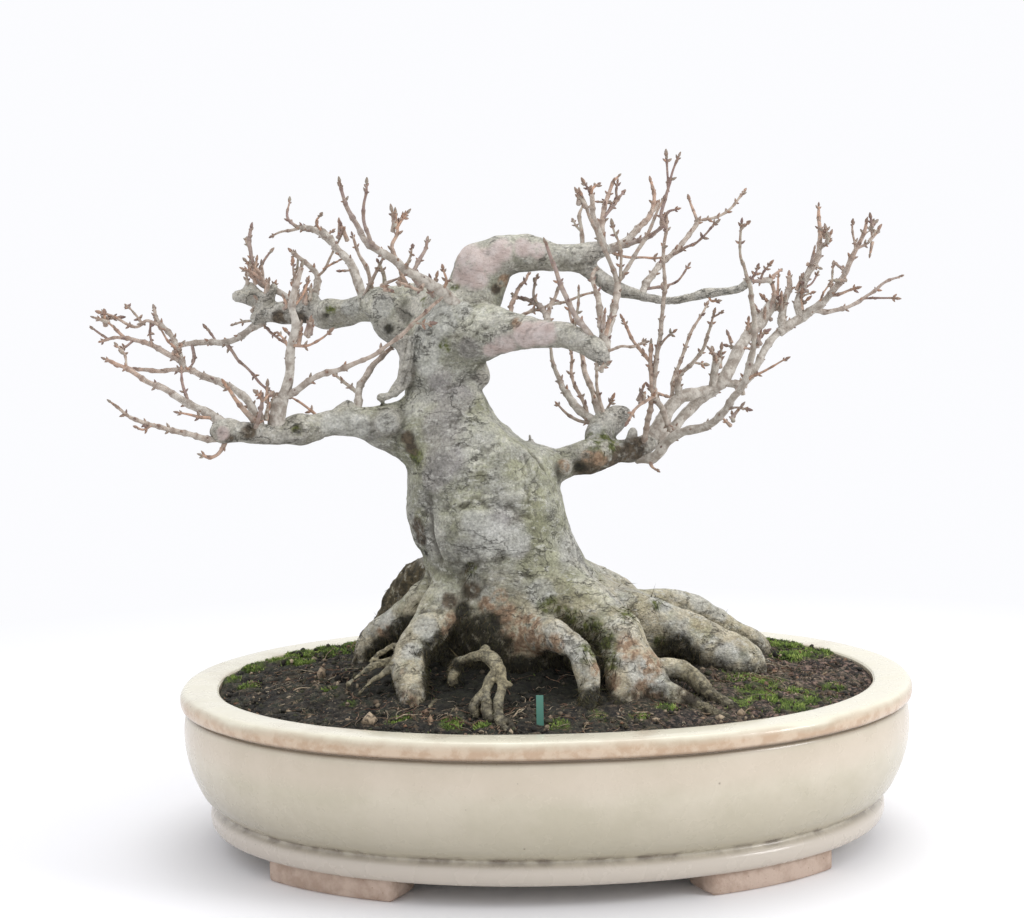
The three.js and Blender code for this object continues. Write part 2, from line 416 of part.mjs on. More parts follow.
function makePot() {
  const rings = [...POT_OUTSIDE, ...POT_INSIDE].map(([inset, z]) => ovalRing(inset, z));
  const underside = POT_OUTSIDE[0][1];
  const floor = POT_INSIDE[POT_INSIDE.length - 1][1];
  let pot = solid(stackGeometry(rings, middle(underside), middle(floor)));
  for (const x of [-DRAIN_HOLE_X, DRAIN_HOLE_X]) pot = pot.subtract(drill(x));
  return pot;
}

// Height of the soil: a mound under the tree that falls to just below the rim, slightly uneven.
function soilHeight(x, y) {
  const inset = POT_INSIDE[1][0];
  const out = Math.hypot(x / (POT_HALF_LENGTH - inset), y / (POT_HALF_WIDTH - inset));
  const mound = SOIL_MOUND * Math.max(0, 1 - out * out) ** 1.5;
  const bumps = Math.sin(x / 6.1 + 1.3) * Math.cos(y / 5.3) + 0.6 * Math.sin(x / 2.9 - y / 3.7);
  return SOIL_EDGE_Z + mound + 0.5 * bumps * Math.min(1, 8 * Math.max(0, 1 - out));
}

function makeSoil(woodInSoil) {
  const ring = (inset, z) => ovalRing(inset + GAP, z, SOIL_SEGMENTS);
  const walls = POT_INSIDE.slice(2).reverse().map(([inset, z]) => ring(inset, z + GAP));
  const edge = ring(POT_INSIDE[1][0], SOIL_EDGE_Z);
  const top = [0.93, 0.82, 0.7, 0.58, 0.46, 0.33, 0.18].map((share) =>
    edge.map((p) => new THREE.Vector3(p.x * share, p.y * share, soilHeight(p.x * share, p.y * share))));
  const floor = walls[0][0].z;
  const body = stackGeometry([...walls, edge, ...top], middle(floor), middle(soilHeight(0, 0)));
  let soil = solid(body);
  for (const wood of woodInSoil) soil = soil.subtract(wood);
  for (const x of [-DRAIN_HOLE_X, DRAIN_HOLE_X]) {
    const room = new THREE.BoxGeometry(SCREEN.size + 2 * GAP, SCREEN.size + 2 * GAP, 6);
    soil = soil.subtract(solid(room.translate(x, 0, floor)));
  }
  soil = soil.subtract(solid(stakeGeometry(GAP)));
  return largest(soil);
}

// The biggest of a solid's separate bodies.
function largest(body) {
  return body.decompose().reduce((best, part) => (part.volume() > best.volume() ? part : best));
}

// A stem through points [x, y, z, radius], on a smooth curve with the section carried along it. lumps
// is how uneven the section is, as a share of the radius, and extra is added to the radius all over.
function stemGeometry(points, sides, steps = 1, lumps = 0, extra = 0) {
  const curve = new THREE.CatmullRomCurve3(points.map(([x, y, z]) => new THREE.Vector3(x, y, z)));
  const count = (points.length - 1) * steps;
  const normal = new THREE.Vector3(0.31, 0.95, 0.04);
  const rings = [];
  for (let i = 0; i <= count; i++) {
    const t = i / count;
    const along = t * (points.length - 1);
    const before = Math.min(Math.floor(along), points.length - 2);
    const radius = extra + THREE.MathUtils.lerp(points[before][3], points[before + 1][3], along - before);
    const centre = curve.getPoint(t);
    const tangent = curve.getTangent(t);
    normal.addScaledVector(tangent, -normal.dot(tangent)).normalize();
    const side = new THREE.Vector3().crossVectors(tangent, normal);
    rings.push(Array.from({ length: sides }, (_, k) => {
      const angle = (2 * Math.PI * k) / sides;
      const wave = Math.sin(3 * angle + 0.9 * i) + 0.6 * Math.sin(5 * angle - 1.7 * i);
      const reach = radius * (1 + lumps * wave);
      return centre.clone().addScaledVector(normal, reach * Math.cos(angle))
        .addScaledVector(side, reach * Math.sin(angle));
    }));
  }
  const end = (t, sign) => {
    const radius = extra + (sign < 0 ? points[0][3] : points[points.length - 1][3]);
    return curve.getPoint(t).addScaledVector(curve.getTangent(t), sign * 0.5 * radius);
  };
  return stackGeometry(rings, end(0, -1), end(1, 1));
}

// A twig's [x, z] points, with the depth and the radius running evenly from foot to tip.
function twigPoints([footRadius, tipRadius, footY, tipY, ...path]) {
  return path.map(([x, z], i) => {
    const share = i / (path.length - 1);
    const radius = THREE.MathUtils.lerp(footRadius, tipRadius, share);
    return [x, THREE.MathUtils.lerp(footY, tipY, share), z, radius];
  });
}

// The cutters that make room in the soil for the trunk's uneven foot and for the roots.
function lowWoodCutters() {
  const trunkFoot = stemGeometry(TRUNK.slice(0, 4), TRUNK_SIDES, 2, 0, GAP + 2);
  const roots = ROOTS.map((points) => stemGeometry(points, LIMB_SIDES, 1, 0, GAP));
  return [trunkFoot, ...roots].map(solid);
}

function makeTree() {
  const trunk = solid(stemGeometry(TRUNK, TRUNK_SIDES, 2, 0.03));
  const limbs = LIMBS.map((points) => solid(stemGeometry(points, LIMB_SIDES, 1, 0.04)));
  const roots = ROOTS.map((points) => solid(stemGeometry(points, LIMB_SIDES)));
  const twigs = TWIGS.map((twig) => {
    const sides = twig[0] < THIN_TWIG ? 3 : 5;
    return solid(stemGeometry(twigPoints(twig), sides));
  });
  return largest([trunk, ...limbs, ...roots, ...twigs].reduce((tree, stem) => tree.add(stem)));
}

// The label stake, a flat strip cut to a point at its lower end.
function stakeGeometry(extra = 0) {
  const half = STAKE.width / 2 + extra;
  const outline = new THREE.Shape([
    new THREE.Vector2(0, STAKE.bottom - 2 * extra),
    new THREE.Vector2(half, STAKE.bottom + 4 - extra),
    new THREE.Vector2(half, STAKE.top + 20 * extra),
    new THREE.Vector2(-half, STAKE.top + 20 * extra),
    new THREE.Vector2(-half, STAKE.bottom + 4 - extra),
  ]);
  const depth = STAKE.thickness + 2 * extra;
  const geometry = new THREE.ExtrudeGeometry(outline, { depth, bevelEnabled: false });
  return geometry.translate(0, 0, -depth / 2).rotateX(Math.PI / 2).translate(STAKE.x, STAKE.y, 0);
}

// A square of plastic mesh that lies over a drainage hole.
function makeScreen(x, floor) {
  const z = floor + GAP + SCREEN.thickness / 2;
  const plate = (size, cx, cy, thickness) =>
    solid(new THREE.BoxGeometry(size, size, thickness).translate(x + cx, cy, z));
  let screen = plate(SCREEN.size, 0, 0, SCREEN.thickness);
  for (const cx of [-SCREEN.pitch, 0, SCREEN.pitch]) {
    for (const cy of [-SCREEN.pitch, 0, SCREEN.pitch]) {
      screen = screen.subtract(plate(SCREEN.hole, cx, cy, 2 * SCREEN.thickness));
    }
  }
  return screen;
}

// A staple of wire: it crosses the screen, goes down through it and the drainage hole, and turns out
// under the pot's floor.
function staplePoints(x, floor) {
  const { radius, leg, toe } = STAPLE;
  const low = POT_OUTSIDE[0][1] - GAP - radius;
  const high = floor + 2 * GAP + SCREEN.thickness + radius;
  const half = [[leg - 0.8, high], [leg, high - 0.8], [leg, low + 1.2], [leg + 1.2, low], [toe, low]];
  const other = half.map(([dx, z]) => [-dx, z]).reverse();
  return [...other, ...half].map(([dx, z]) => [x + dx, 0, z, radius]);
}

const group = new THREE.Group();
const potFloor = POT_INSIDE[POT_INSIDE.length - 1][1];
const [footStart, footEnd] = FOOT_ANGLES;
group.add(piece("pot", makePot(), GLAZE));
group.add(piece("foot_back_right", makeFoot(footStart), BARE_CLAY));
group.add(piece("foot_back_left", makeFoot(180 - footEnd), BARE_CLAY));
group.add(piece("foot_front_left", makeFoot(180 + footStart), BARE_CLAY));
group.add(piece("foot_front_right", makeFoot(360 - footEnd), BARE_CLAY));
group.add(piece("soil", makeSoil(lowWoodCutters()), SOIL));
group.add(piece("tree", makeTree(), BARK));
group.add(piece("label_stake", solid(stakeGeometry()), TEAL_PLASTIC));
for (const [side, x] of [["left", -DRAIN_HOLE_X], ["right", DRAIN_HOLE_X]]) {
  group.add(piece(`drain_screen_${side}`, makeScreen(x, potFloor), BLACK_PLASTIC));
  group.add(piece(`screen_staple_${side}`, solid(stemGeometry(staplePoints(x, potFloor), 6)), WIRE));
}

// Put the middle of the bounding box over the origin.
const bounds = new THREE.Box3().setFromObject(group);
group.position.set(-(bounds.min.x + bounds.max.x) / 2, -(bounds.min.y + bounds.max.y) / 2, -bounds.min.z);

export default group;
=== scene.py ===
# %% [markdown]
# # A trident maple bonsai in its glazed pot
#
# The real object is a small tree, about 19 cm high above the rim of an oval pot. This lesson dresses its
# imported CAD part: a finer pot, soil with moss and rootlets, the trunk, roots and limbs as one skin, and
# the twigs with their buds. Everything is worked out in millimetres about the middle of the pot, with the
# table at z = 0, +X to the right and +Y away, and is moved into the part's frame and into metres as it
# becomes a mesh.

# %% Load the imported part
from itertools import product

import bpy
import numpy as np
from mathutils import Matrix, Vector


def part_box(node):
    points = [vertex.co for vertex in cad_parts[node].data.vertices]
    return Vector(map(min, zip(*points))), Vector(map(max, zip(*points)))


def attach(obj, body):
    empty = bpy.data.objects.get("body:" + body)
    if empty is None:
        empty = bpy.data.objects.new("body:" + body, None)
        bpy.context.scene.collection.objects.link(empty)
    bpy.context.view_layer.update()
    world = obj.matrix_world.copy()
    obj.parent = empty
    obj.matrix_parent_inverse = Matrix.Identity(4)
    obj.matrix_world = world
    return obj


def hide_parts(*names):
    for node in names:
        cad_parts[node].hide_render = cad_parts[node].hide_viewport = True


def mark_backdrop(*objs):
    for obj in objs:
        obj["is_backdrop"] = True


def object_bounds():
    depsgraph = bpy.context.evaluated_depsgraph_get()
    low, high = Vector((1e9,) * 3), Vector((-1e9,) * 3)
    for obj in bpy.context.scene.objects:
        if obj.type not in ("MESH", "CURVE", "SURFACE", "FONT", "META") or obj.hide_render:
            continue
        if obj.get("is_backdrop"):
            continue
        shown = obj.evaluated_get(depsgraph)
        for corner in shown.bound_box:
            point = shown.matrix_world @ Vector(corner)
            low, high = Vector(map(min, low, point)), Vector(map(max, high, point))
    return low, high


scene = bpy.context.scene
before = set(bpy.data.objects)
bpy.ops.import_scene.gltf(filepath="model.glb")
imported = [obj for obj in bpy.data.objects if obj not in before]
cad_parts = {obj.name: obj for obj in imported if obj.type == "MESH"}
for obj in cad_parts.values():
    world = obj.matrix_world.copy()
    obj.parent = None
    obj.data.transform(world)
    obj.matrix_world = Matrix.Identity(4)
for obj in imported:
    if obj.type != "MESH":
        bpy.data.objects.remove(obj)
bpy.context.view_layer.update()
pot_low, pot_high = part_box("pot")
POT_MIDDLE = np.array([(pot_low.x + pot_high.x) / 2, (pot_low.y + pot_high.y) / 2, 0.0])

# %% [markdown]
# ## Randomness that can be repeated
#
# A random value on each point of a lattice, blended smoothly in between, gives unevenness of one size,
# and a sum of such layers gives what bark, soil and glaze have. The seed is fixed, so the tree comes out
# the same each time.

# %% Noise in numpy
LATTICE = np.random.default_rng(11).random((64, 64, 64))


def noise(points, size, seed=0):
    """Smooth random value from -1 to 1 at each point, with bumps of that size in millimetres."""
    place = points / size + 9.37 * seed
    corner = np.floor(place).astype(int)
    share = place - corner
    share = share * share * (3 - 2 * share)
    value = np.zeros(len(points))
    for step in product((0, 1), repeat=3):
        weight = np.prod(np.where(step, share, 1 - share), axis=1)
        i, j, k = ((corner + step) % 64).T
        value += weight * LATTICE[i, j, k]
    return 2 * value - 1


def layered_noise(points, size, layers=2, seed=0):
    """Sum of noises, each with half the size and half the strength of the one before."""
    total = sum(noise(points, size / 2**n, seed + n) / 2**n for n in range(layers))
    return total / (2 - 2 ** (1 - layers))


def fade(value, start, end):
    """0 up to start, 1 from end on, and a smooth step in between. start may be above end."""
    share = np.clip((value - start) / (end - start), 0, 1)
    return share * share * (3 - 2 * share)


def circle(count):
    """Angles evenly round a circle."""
    return np.linspace(0, 2 * np.pi, count, endpoint=False)


def unit(vectors):
    """The vectors, each made one long."""
    return vectors / (np.linalg.norm(vectors, axis=-1, keepdims=True) + 1e-9)


print("lattice of", LATTICE.size, "random values")

# %% [markdown]
# ## From arrays to a mesh
#
# Each piece ends as an array of points, some arrays of faces, and masks: one number a point that says how
# mossy, scarred or dark it is there. Its material reads the masks as attributes of the mesh.

# %% Mesh helpers
def add_object(name, data):
    """An object with that data, in the scene's collection."""
    made = bpy.data.objects.new(name, data)
    scene.collection.objects.link(made)
    return made


def add_piece(name, points, faces, masks=None, replaces=()):
    """Makes a smooth-shaded mesh from points in millimetres and rides it on the part's only body."""
    mesh = bpy.data.meshes.new(name)
    mesh.vertices.add(len(points))
    mesh.vertices.foreach_set("co", (np.asarray(points) / 1000 + POT_MIDDLE).astype(np.float32).ravel())
    sizes = np.concatenate([np.full(len(f), f.shape[1]) for f in faces])
    corners = np.concatenate([f.ravel() for f in faces])
    mesh.loops.add(len(corners))
    mesh.loops.foreach_set("vertex_index", corners.astype(np.int32))
    mesh.polygons.add(len(sizes))
    mesh.polygons.foreach_set("loop_start", (np.cumsum(sizes) - sizes).astype(np.int32))
    for mask, values in (masks or {}).items():
        attribute = mesh.attributes.new(mask, "FLOAT", "POINT")
        attribute.data.foreach_set("value", np.asarray(values, np.float32))
    mesh.update(calc_edges=True)
    mesh.shade_smooth()
    piece = add_object(name, mesh)
    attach(piece, "root")
    if replaces:
        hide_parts(*replaces)
    triangles = int((sizes - 2).sum())
    print(f"{name}: {len(points)} points, {triangles} triangles")
    return piece


def grid_faces(rows, columns):
    """Quads between the rows of a grid whose columns close round."""
    row, column = np.meshgrid(np.arange(rows - 1), np.arange(columns), indexing="ij")
    beside = (column + 1) % columns
    quads = [row * columns + column, row * columns + beside,
             (row + 1) * columns + beside, (row + 1) * columns + column]
    return np.stack(quads, axis=-1).reshape(-1, 4)


def fan_faces(first, columns, centre, turned=False):
    """Triangles from a ring of points, which starts at first, to one centre point."""
    column = np.arange(columns)
    ring = np.stack([first + column, first + (column + 1) % columns, np.full(columns, centre)], axis=-1)
    return ring[:, ::-1] if turned else ring


def closed_faces(rows, columns):
    """A grid's quads, and two fans that close its ends. Their centre points follow the grid's points."""
    count = rows * columns
    return [grid_faces(rows, columns), fan_faces(0, columns, count, turned=True),
            fan_faces(count - columns, columns, count + 1)]


def smooth_path(points, step):
    """Catmull-Rom curve through the points. Every column is carried along, such as the radius."""
    p = np.asarray(points, float)
    p = np.vstack([2 * p[0] - p[1], p, 2 * p[-1] - p[-2]])
    spans = len(p) - 3
    length = np.linalg.norm(np.diff(p[1:-1, :3], axis=0), axis=1).sum()
    along = np.linspace(0, spans, max(spans, int(length / step)) + 1)
    span = np.minimum(along.astype(int), spans - 1)
    t = (along - span)[:, None]
    a, b, c, d = (p[span + k] for k in range(4))
    return 0.5 * (2 * b + (c - a) * t + (2 * a - 5 * b + 4 * c - d) * t**2 + (3 * b - a - 3 * c + d) * t**3)


print("helpers ready")

# %% [markdown]
# ## The pot
#
# A swelling wall between a rolled lip and a bead stands on four low feet that were left bare. From above
# it is a superellipse, an oval a little squarer than an ellipse. One profile carried round it makes the
# whole wall inside and out, and a slow noise makes that as uneven as clay is.

# %% The pot's wall
POT_HALF_LENGTH = 135
POT_HALF_WIDTH = 105.3
OVAL_POWER = 2.08
POT_OUTSIDE = [
    (15, 7.6), (12, 8), (10.3, 10), (10.1, 13.6), (12.2, 16.2), (10.2, 18), (6.8, 22.3), (3.6, 29.5),
    (1.5, 38), (1.1, 45), (2, 51), (3, 52.4), (0.7, 53.4), (0, 56), (0.7, 58.2), (3, 59.3), (12, 59.1),
]
POT_INSIDE = [(13.7, 58.3), (14, 56.8), (14, 42), (15.5, 29), (18.5, 19.5), (24.5, 14.6)]


def oval(inset, angle, z):
    """Point of the superellipse: each side is cosine or sine to the power 2 / OVAL_POWER."""
    c, s = np.cos(angle), np.sin(angle)
    inset, c, s, z = np.broadcast_arrays(inset, c, s, z)
    x = (POT_HALF_LENGTH - inset) * np.sign(c) * np.abs(c) ** (2 / OVAL_POWER)
    y = (POT_HALF_WIDTH - inset) * np.sign(s) * np.abs(s) ** (2 / OVAL_POWER)
    return np.stack([x, y, z], axis=-1)


def pot_wall(columns=320):
    """The profile at every angle of the oval: (inset, z) at a row, pushed in or out by slow noise."""
    profile = smooth_path(POT_OUTSIDE + POT_INSIDE, 0.9)
    angle = circle(columns)
    wall = oval(profile[:, :1], angle[None, :], profile[:, 1:]).reshape(-1, 3)
    push = 0.35 * layered_noise(wall, 40, seed=3) + 0.1 * layered_noise(wall, 9, seed=5)
    hold = fade(wall[:, 2], 7.6, 12)
    wall[:, :2] *= 1 - (push * hold / 120)[:, None]
    wall[:, 2] += 0.5 * push * hold
    return wall, len(profile), columns


wall, rows, columns = pot_wall()
underside, pot_floor = POT_OUTSIDE[0][1], POT_INSIDE[-1][1]
pot_points = np.vstack([wall, [[0, 0, underside], [0, 0, pot_floor]]])
pot = add_piece("pot_body", pot_points, closed_faces(rows, columns), replaces=["pot"])

# %% [markdown]
# The feet are strips of clay under the bead, with their edges rubbed round: a short section carried along
# the oval, which shrinks a little at its two ends.

# %% The feet
FOOT_ANGLES = (36, 65)
FOOT_INSET, FOOT_DEPTH, FOOT_HEIGHT, FOOT_EDGE, FOOT_LENGTH = 13.5, 15, 8.6, 1.4, 55


def foot(start, end, rows=26, columns=24):
    """A rounded rectangle, inset by height, at each angle. A superellipse of power 8 rounds its
    corners, and it shrinks at the ends by a circle of radius FOOT_EDGE."""
    share = np.linspace(0, 1, rows)
    share = share - 0.12 * np.sin(2 * np.pi * share) / (2 * np.pi)
    turn = circle(columns)
    c, s = np.cos(turn), np.sin(turn)
    across = np.sign(c) * np.abs(c) ** 0.25
    up = np.sign(s) * np.abs(s) ** 0.25
    to_end = np.minimum(share, 1 - share) * FOOT_LENGTH
    round_off = FOOT_EDGE * (1 - np.sqrt(1 - np.clip(1 - to_end / FOOT_EDGE, 0, 1) ** 2))
    half_depth = FOOT_DEPTH / 2 - round_off[:, None]
    inset = FOOT_INSET + FOOT_DEPTH / 2 - half_depth * across
    z = FOOT_HEIGHT / 2 + (FOOT_HEIGHT / 2 - round_off[:, None]) * up
    angle = np.radians(start + (end - start) * share)[:, None]
    return oval(inset, angle, z)


feet_points, feet_faces, base = [], [], 0
for start in (FOOT_ANGLES[0], 180 - FOOT_ANGLES[1], 180 + FOOT_ANGLES[0], 360 - FOOT_ANGLES[1]):
    sections = foot(start, start + FOOT_ANGLES[1] - FOOT_ANGLES[0])
    rows, columns = sections.shape[:2]
    ends = sections[[0, -1]].mean(axis=1)
    feet_points += [sections.reshape(-1, 3), ends]
    feet_faces += [base + faces for faces in closed_faces(rows, columns)]
    base += rows * columns + 2
feet = add_piece("pot_feet", np.vstack(feet_points), feet_faces,
                 replaces=[f"foot_{row}_{side}" for row in ("front", "back") for side in ("left", "right")])

# %% [markdown]
# Water leaves through two holes in the floor, which a Boolean modifier cuts with two cylinders.

# %% The drainage holes
DRAIN_HOLE_X, DRAIN_HOLE_RADIUS = 48, 9
DRILL_LOW, DRILL_HIGH, DRILL_SIDES = 2.0, 20.0, 48
turn = circle(DRILL_SIDES)
drill_points, drill_faces = [], []
for number, x in enumerate((-DRAIN_HOLE_X, DRAIN_HOLE_X)):
    drill_points += [np.stack([x + DRAIN_HOLE_RADIUS * np.cos(turn), DRAIN_HOLE_RADIUS * np.sin(turn),
                               np.full(DRILL_SIDES, z)], axis=-1) for z in (DRILL_LOW, DRILL_HIGH)]
    drill_points += [[[x, 0, DRILL_LOW], [x, 0, DRILL_HIGH]]]
    first = (2 * DRILL_SIDES + 2) * number
    drill_faces += [first + faces for faces in closed_faces(2, DRILL_SIDES)]
drill = add_piece("drill", np.vstack(drill_points), drill_faces)
cut = pot.modifiers.new("drainage", "BOOLEAN")
cut.operation, cut.object, cut.solver = "DIFFERENCE", drill, "EXACT"
bpy.context.view_layer.update()
cut_mesh = bpy.data.meshes.new_from_object(pot.evaluated_get(bpy.context.evaluated_depsgraph_get()))
pot.modifiers.clear()
pot.data = cut_mesh
bpy.data.objects.remove(drill)
print("pot faces after the cut", len(pot.data.polygons))

# %% [markdown]
# ## The wood
#
# Trunk, roots and limbs are one grown skin. Tubes pushed into one another would show sharp corners, so
# the wood is worked out as a field: on a lattice of small cells, how far each point is from the nearest
# stem. Where two stems come close their fields melt together, and the skin lies where the field is 0. The
# stems are lists of (x, y, z, radius). They follow the part's own, and some roots and the trunk's waist
# are set more finely here. A twig is drawn in the front view and leans from one depth to another: (radius
# at the foot, radius at the tip, y at the foot, y at the tip, then x and z of each of its points). A thin
# one leaves out the radius at the tip, which is THIN_TIP.

# %% The stems
TRUNK = [(-7, 4, 48, 31), (-8.5, 4, 70, 33.5), (-11.5, 3, 89, 31.5), (-14.8, 1, 104.5, 28.3),
         (-18, 0, 112.5, 28), (-21, 0, 125.5, 27.5), (-24.5, 0, 139.5, 24.5), (-30.5, 1, 153.5, 18.5),
         (-33.5, 2, 160, 15.5),
         (-35, 3, 166, 14.2), (-35.5, 4, 179, 15), (-30.5, 4, 191, 13), (-24, 4, 200.5, 10),
         (-20.5, 4, 208.5, 9.3)]
LIMBS = {
    "apex": [(-22.5, 4, 200.5, 9), (-20, 4, 209, 9.2), (-16, 4, 213.5, 8), (-9, 3, 215.5, 7),
     (-0.5, 1, 215.5, 6), (7, -1, 214, 5), (14.5, -3, 214, 5), (21, -4, 216, 3.5), (25.5, -4, 216.5, 2)],
    "apex_fork": [(13, -2, 214, 3.8), (18, -4, 210, 3.2), (23, -6, 206, 2.9), (28, -8, 202.5, 3),
     (34.5, -11, 200.5, 2), (42, -14, 198.5, 1.5), (47.5, -17, 198, 1.5), (54, -20, 199, 1.5),
     (59.5, -23, 200.5, 2), (64.5, -26, 201, 1.5), (70.5, -29, 202, 1.5), (73.5, -31, 204.5, 1.5)],
    "front_right": [(-28, -2, 186.5, 12), (-19.5, -9, 188, 10), (-11.5, -15, 188, 7.5),
     (-3.5, -21, 188, 5.5), (4.5, -27, 187.5, 4), (9, -31, 187, 4.5), (15.5, -36, 184.5, 4),
     (19.5, -39, 182, 4), (22.5, -42, 178, 2)],
    "left_mid": [(-36.5, 10, 191, 11), (-44.5, 14, 197, 8.5), (-52, 18, 197, 7.5), (-59, 22, 197.5, 7),
     (-67, 27, 196, 5.2), (-74, 31, 194, 5), (-81, 35, 193.5, 5), (-89, 40, 195, 4.5),
     (-97.5, 44, 194.5, 4.5), (-104, 47, 194.5, 3.5), (-108.5, 49, 192.5, 3)],
    "left_mid_end": [(-104, 47, 195, 3), (-108.5, 50, 198.5, 2.5), (-111.5, 52, 201, 3),
     (-114.5, 54, 202, 2)],
    "low_left": [(-40.5, 0, 151, 14.8), (-49.5, -2, 154, 9.2), (-57, -4, 155, 7), (-63.5, -7, 155.5, 6),
     (-70, -10, 156, 5), (-77, -13, 156, 4.5), (-83, -16, 154.5, 5), (-88, -18, 154.5, 5),
     (-93.5, -21, 153.5, 4), (-99.5, -24, 153.5, 3.5), (-105, -27, 154.5, 3.5), (-109.5, -29, 155.5, 3),
     (-113, -31, 155.5, 4)],
    "right_low": [(-9.5, 0, 136, 10), (-1, 1, 138, 7), (5.5, 3, 137.5, 6.2), (11.5, 5, 139, 5.8),
     (17.5, 7, 139.5, 6.3), (23, 8, 140.5, 5.5), (29, 10, 141.5, 4.5), (35, 12, 141.5, 4.5),
     (41, 14, 144.5, 3.5)],
    "right_stump": [(21.5, 10, 142, 4.5), (23.5, 14, 148.8, 5.6), (27.5, 17, 152, 4.8), (31, 19, 154, 3.8)],
}
ROOTS = {
    "left_a": [(-44, 0, 87, 8), (-48.5, 3, 82.5, 7.2), (-54, 6, 79, 6.8), (-59.5, 8, 75.5, 6.6),
     (-64, 10, 71, 6), (-67, 12, 66.5, 5), (-69, 14, 61, 4)],
    "left_b": [(-34, -16, 92.5, 8.5), (-39, -21, 86, 7.4), (-43, -26, 80.5, 7), (-47, -30, 76, 6.6),
     (-48.5, -34, 72, 6.2), (-48.5, -38, 68.5, 6), (-48, -43, 66, 5.6), (-47.5, -47, 62.5, 5.2),
     (-47.5, -50, 59.5, 4.2)],
    "left_knob": [(-47.5, -34, 70, 3.5), (-47.5, -40, 63.5, 5), (-48, -44, 59.5, 4)],
    "back_left": [(-33, 22, 95.5, 13), (-45, 28, 88.5, 11), (-53, 33, 80.5, 8.5), (-59.5, 38, 72.5, 6),
     (-67, 42, 64, 5.5), (-72, 45, 56.5, 4)],
    "front_hook": [(-7, -20, 83, 9), (-1, -31, 81, 6.6), (4, -40, 81, 5), (8.5, -46, 80, 4.4),
     (11.5, -50, 77.5, 4.4), (13.5, -53, 73.5, 4.4), (14.5, -56, 69.5, 4), (14, -59, 65, 3.6),
     (13.5, -62, 61, 3)],
    "front_right": [(4, -14, 92, 13), (17, -24, 86.5, 11), (25, -34, 80.5, 8.5), (30, -42, 72, 8),
     (36, -48, 65.5, 6.2), (43, -53, 62.5, 4.2), (49, -57, 60.5, 3), (55, -61, 58.5, 2.3),
     (61, -66, 56.5, 1.6)],
    "front_ankle": [(26, -40, 79.5, 8), (26.5, -47, 71, 7), (26, -54, 61.5, 6), (22, -58, 56.5, 3.5)],
    "finger": [(42.5, -42, 70, 3.6), (48, -44, 69, 2.9), (53, -47, 65.5, 2.5), (58, -52, 61.5, 2.4),
     (63, -56, 59, 2.2), (65.5, -58, 57.5, 1.6)],
    "right_a": [(10, 4, 89, 11.5), (23.5, 2, 84, 12), (35.5, 0, 80, 10.5), (46, -2, 76.5, 8),
     (55, -6, 72.5, 9.5), (62.5, -9, 68.5, 9.5), (71, -10, 66.5, 8), (76, -9, 63.5, 5.5),
     (78.5, -9, 57.5, 3)],
    "right_b": [(16, 14, 85.5, 10.5), (33, 18, 81.5, 7.5), (45, 22, 81.5, 6), (56.5, 26, 79, 5.5),
     (65, 28, 74.5, 5), (73, 30, 69, 5), (79.5, 31, 65, 5), (84, 32, 60, 4.5), (85.5, 32, 53.5, 3)],
    "back_right": [(5, 22, 90, 13), (22.5, 36, 84, 10), (34.5, 48, 74, 8), (45, 58, 64.5, 5.5),
     (52.5, 66, 58, 3)],
    "back": [(-8.5, 20, 94, 19), (-14.5, 36, 85.5, 13), (-20.5, 50, 74.5, 9.5), (-26.5, 62, 64.5, 6.5),
     (-30, 72, 57, 3.5)],
    "heel_right": [(6, 6, 77, 22.5), (31.5, 8, 70.5, 16), (55, 8, 65.5, 13), (72.5, 6, 59, 9),
     (83, 4, 55, 5)],
    "heel_left": [(-33, 24, 76, 18.5), (-47, 23, 69, 11), (-58, 21, 63, 7)],
    "tan_a": [(-32, -60, 61, 0.9), (-33.5, -64, 59, 1.2), (-35, -68, 57.5, 1)],
    "tan_b": [(-38.5, -52, 62, 1), (-40, -54, 61, 1.1), (-41.5, -58, 60, 0.9)],
    "left_thin_a": [(-53, -36, 72.5, 1.7), (-58, -39, 69, 1.4), (-62, -42, 67, 1.3), (-66, -46, 63.5, 1.1)],
    "left_thin_b": [(-54.5, -28, 77, 1.2), (-58.5, -32, 75.5, 1), (-62.5, -35, 73, 0.8)],
    "left_thin_c": [(-55.5, -33, 72.5, 1.5), (-61, -36, 71.5, 1.3), (-65, -39, 70, 1.2), (-70, -43, 66, 1)],
}
ARCH_ROOT = {
    "arch": [(-33, -36, 64.5, 1.7), (-33.5, -36, 68, 1.9), (-32.5, -38, 71.5, 1.6), (-29, -42, 74, 1.5),
     (-25.5, -46, 76, 1.7), (-22, -49, 77, 2.2), (-18.5, -52, 76, 2.5), (-16.5, -55, 73.5, 2.6),
     (-16, -57, 71.5, 2.4), (-15.5, -60, 69, 1.8), (-16, -63, 67, 1.6), (-16.8, -67, 64, 1.5),
     (-16.8, -70, 61.5, 1.6), (-16.5, -75, 59, 1.7), (-14.5, -81, 57.8, 1.3)],
    "arch_b": [(-17.5, -56, 72.5, 1.9), (-20, -58, 70, 1.8), (-21, -60, 67.5, 1.7), (-23.5, -62, 65, 1.9),
     (-25.5, -64, 63, 2.1), (-25, -66, 60, 1.8)],
    "arch_c": [(-21, -61, 67.5, 1.4), (-21, -64, 64.5, 1.5), (-21, -68, 61.5, 1.7), (-20, -72, 59.5, 1.4)],
    "arch_fork": [(-17, -72, 60.5, 1.3), (-13.5, -75, 59.8, 1.2), (-11.5, -81, 57.6, 1)],
    "arch_knob": [(-21.5, -46, 78.5, 1.7), (-21, -49, 77, 1.8)],
    "arch_spur": [(-15, -60, 70, 1.4), (-13, -61, 69, 1.3)],
    "stub": [(-30, -37, 72.5, 1.5), (-31.5, -40, 70.5, 1.5), (-33, -43, 68.5, 1.6), (-33.5, -45, 66.5, 1.3)],
}
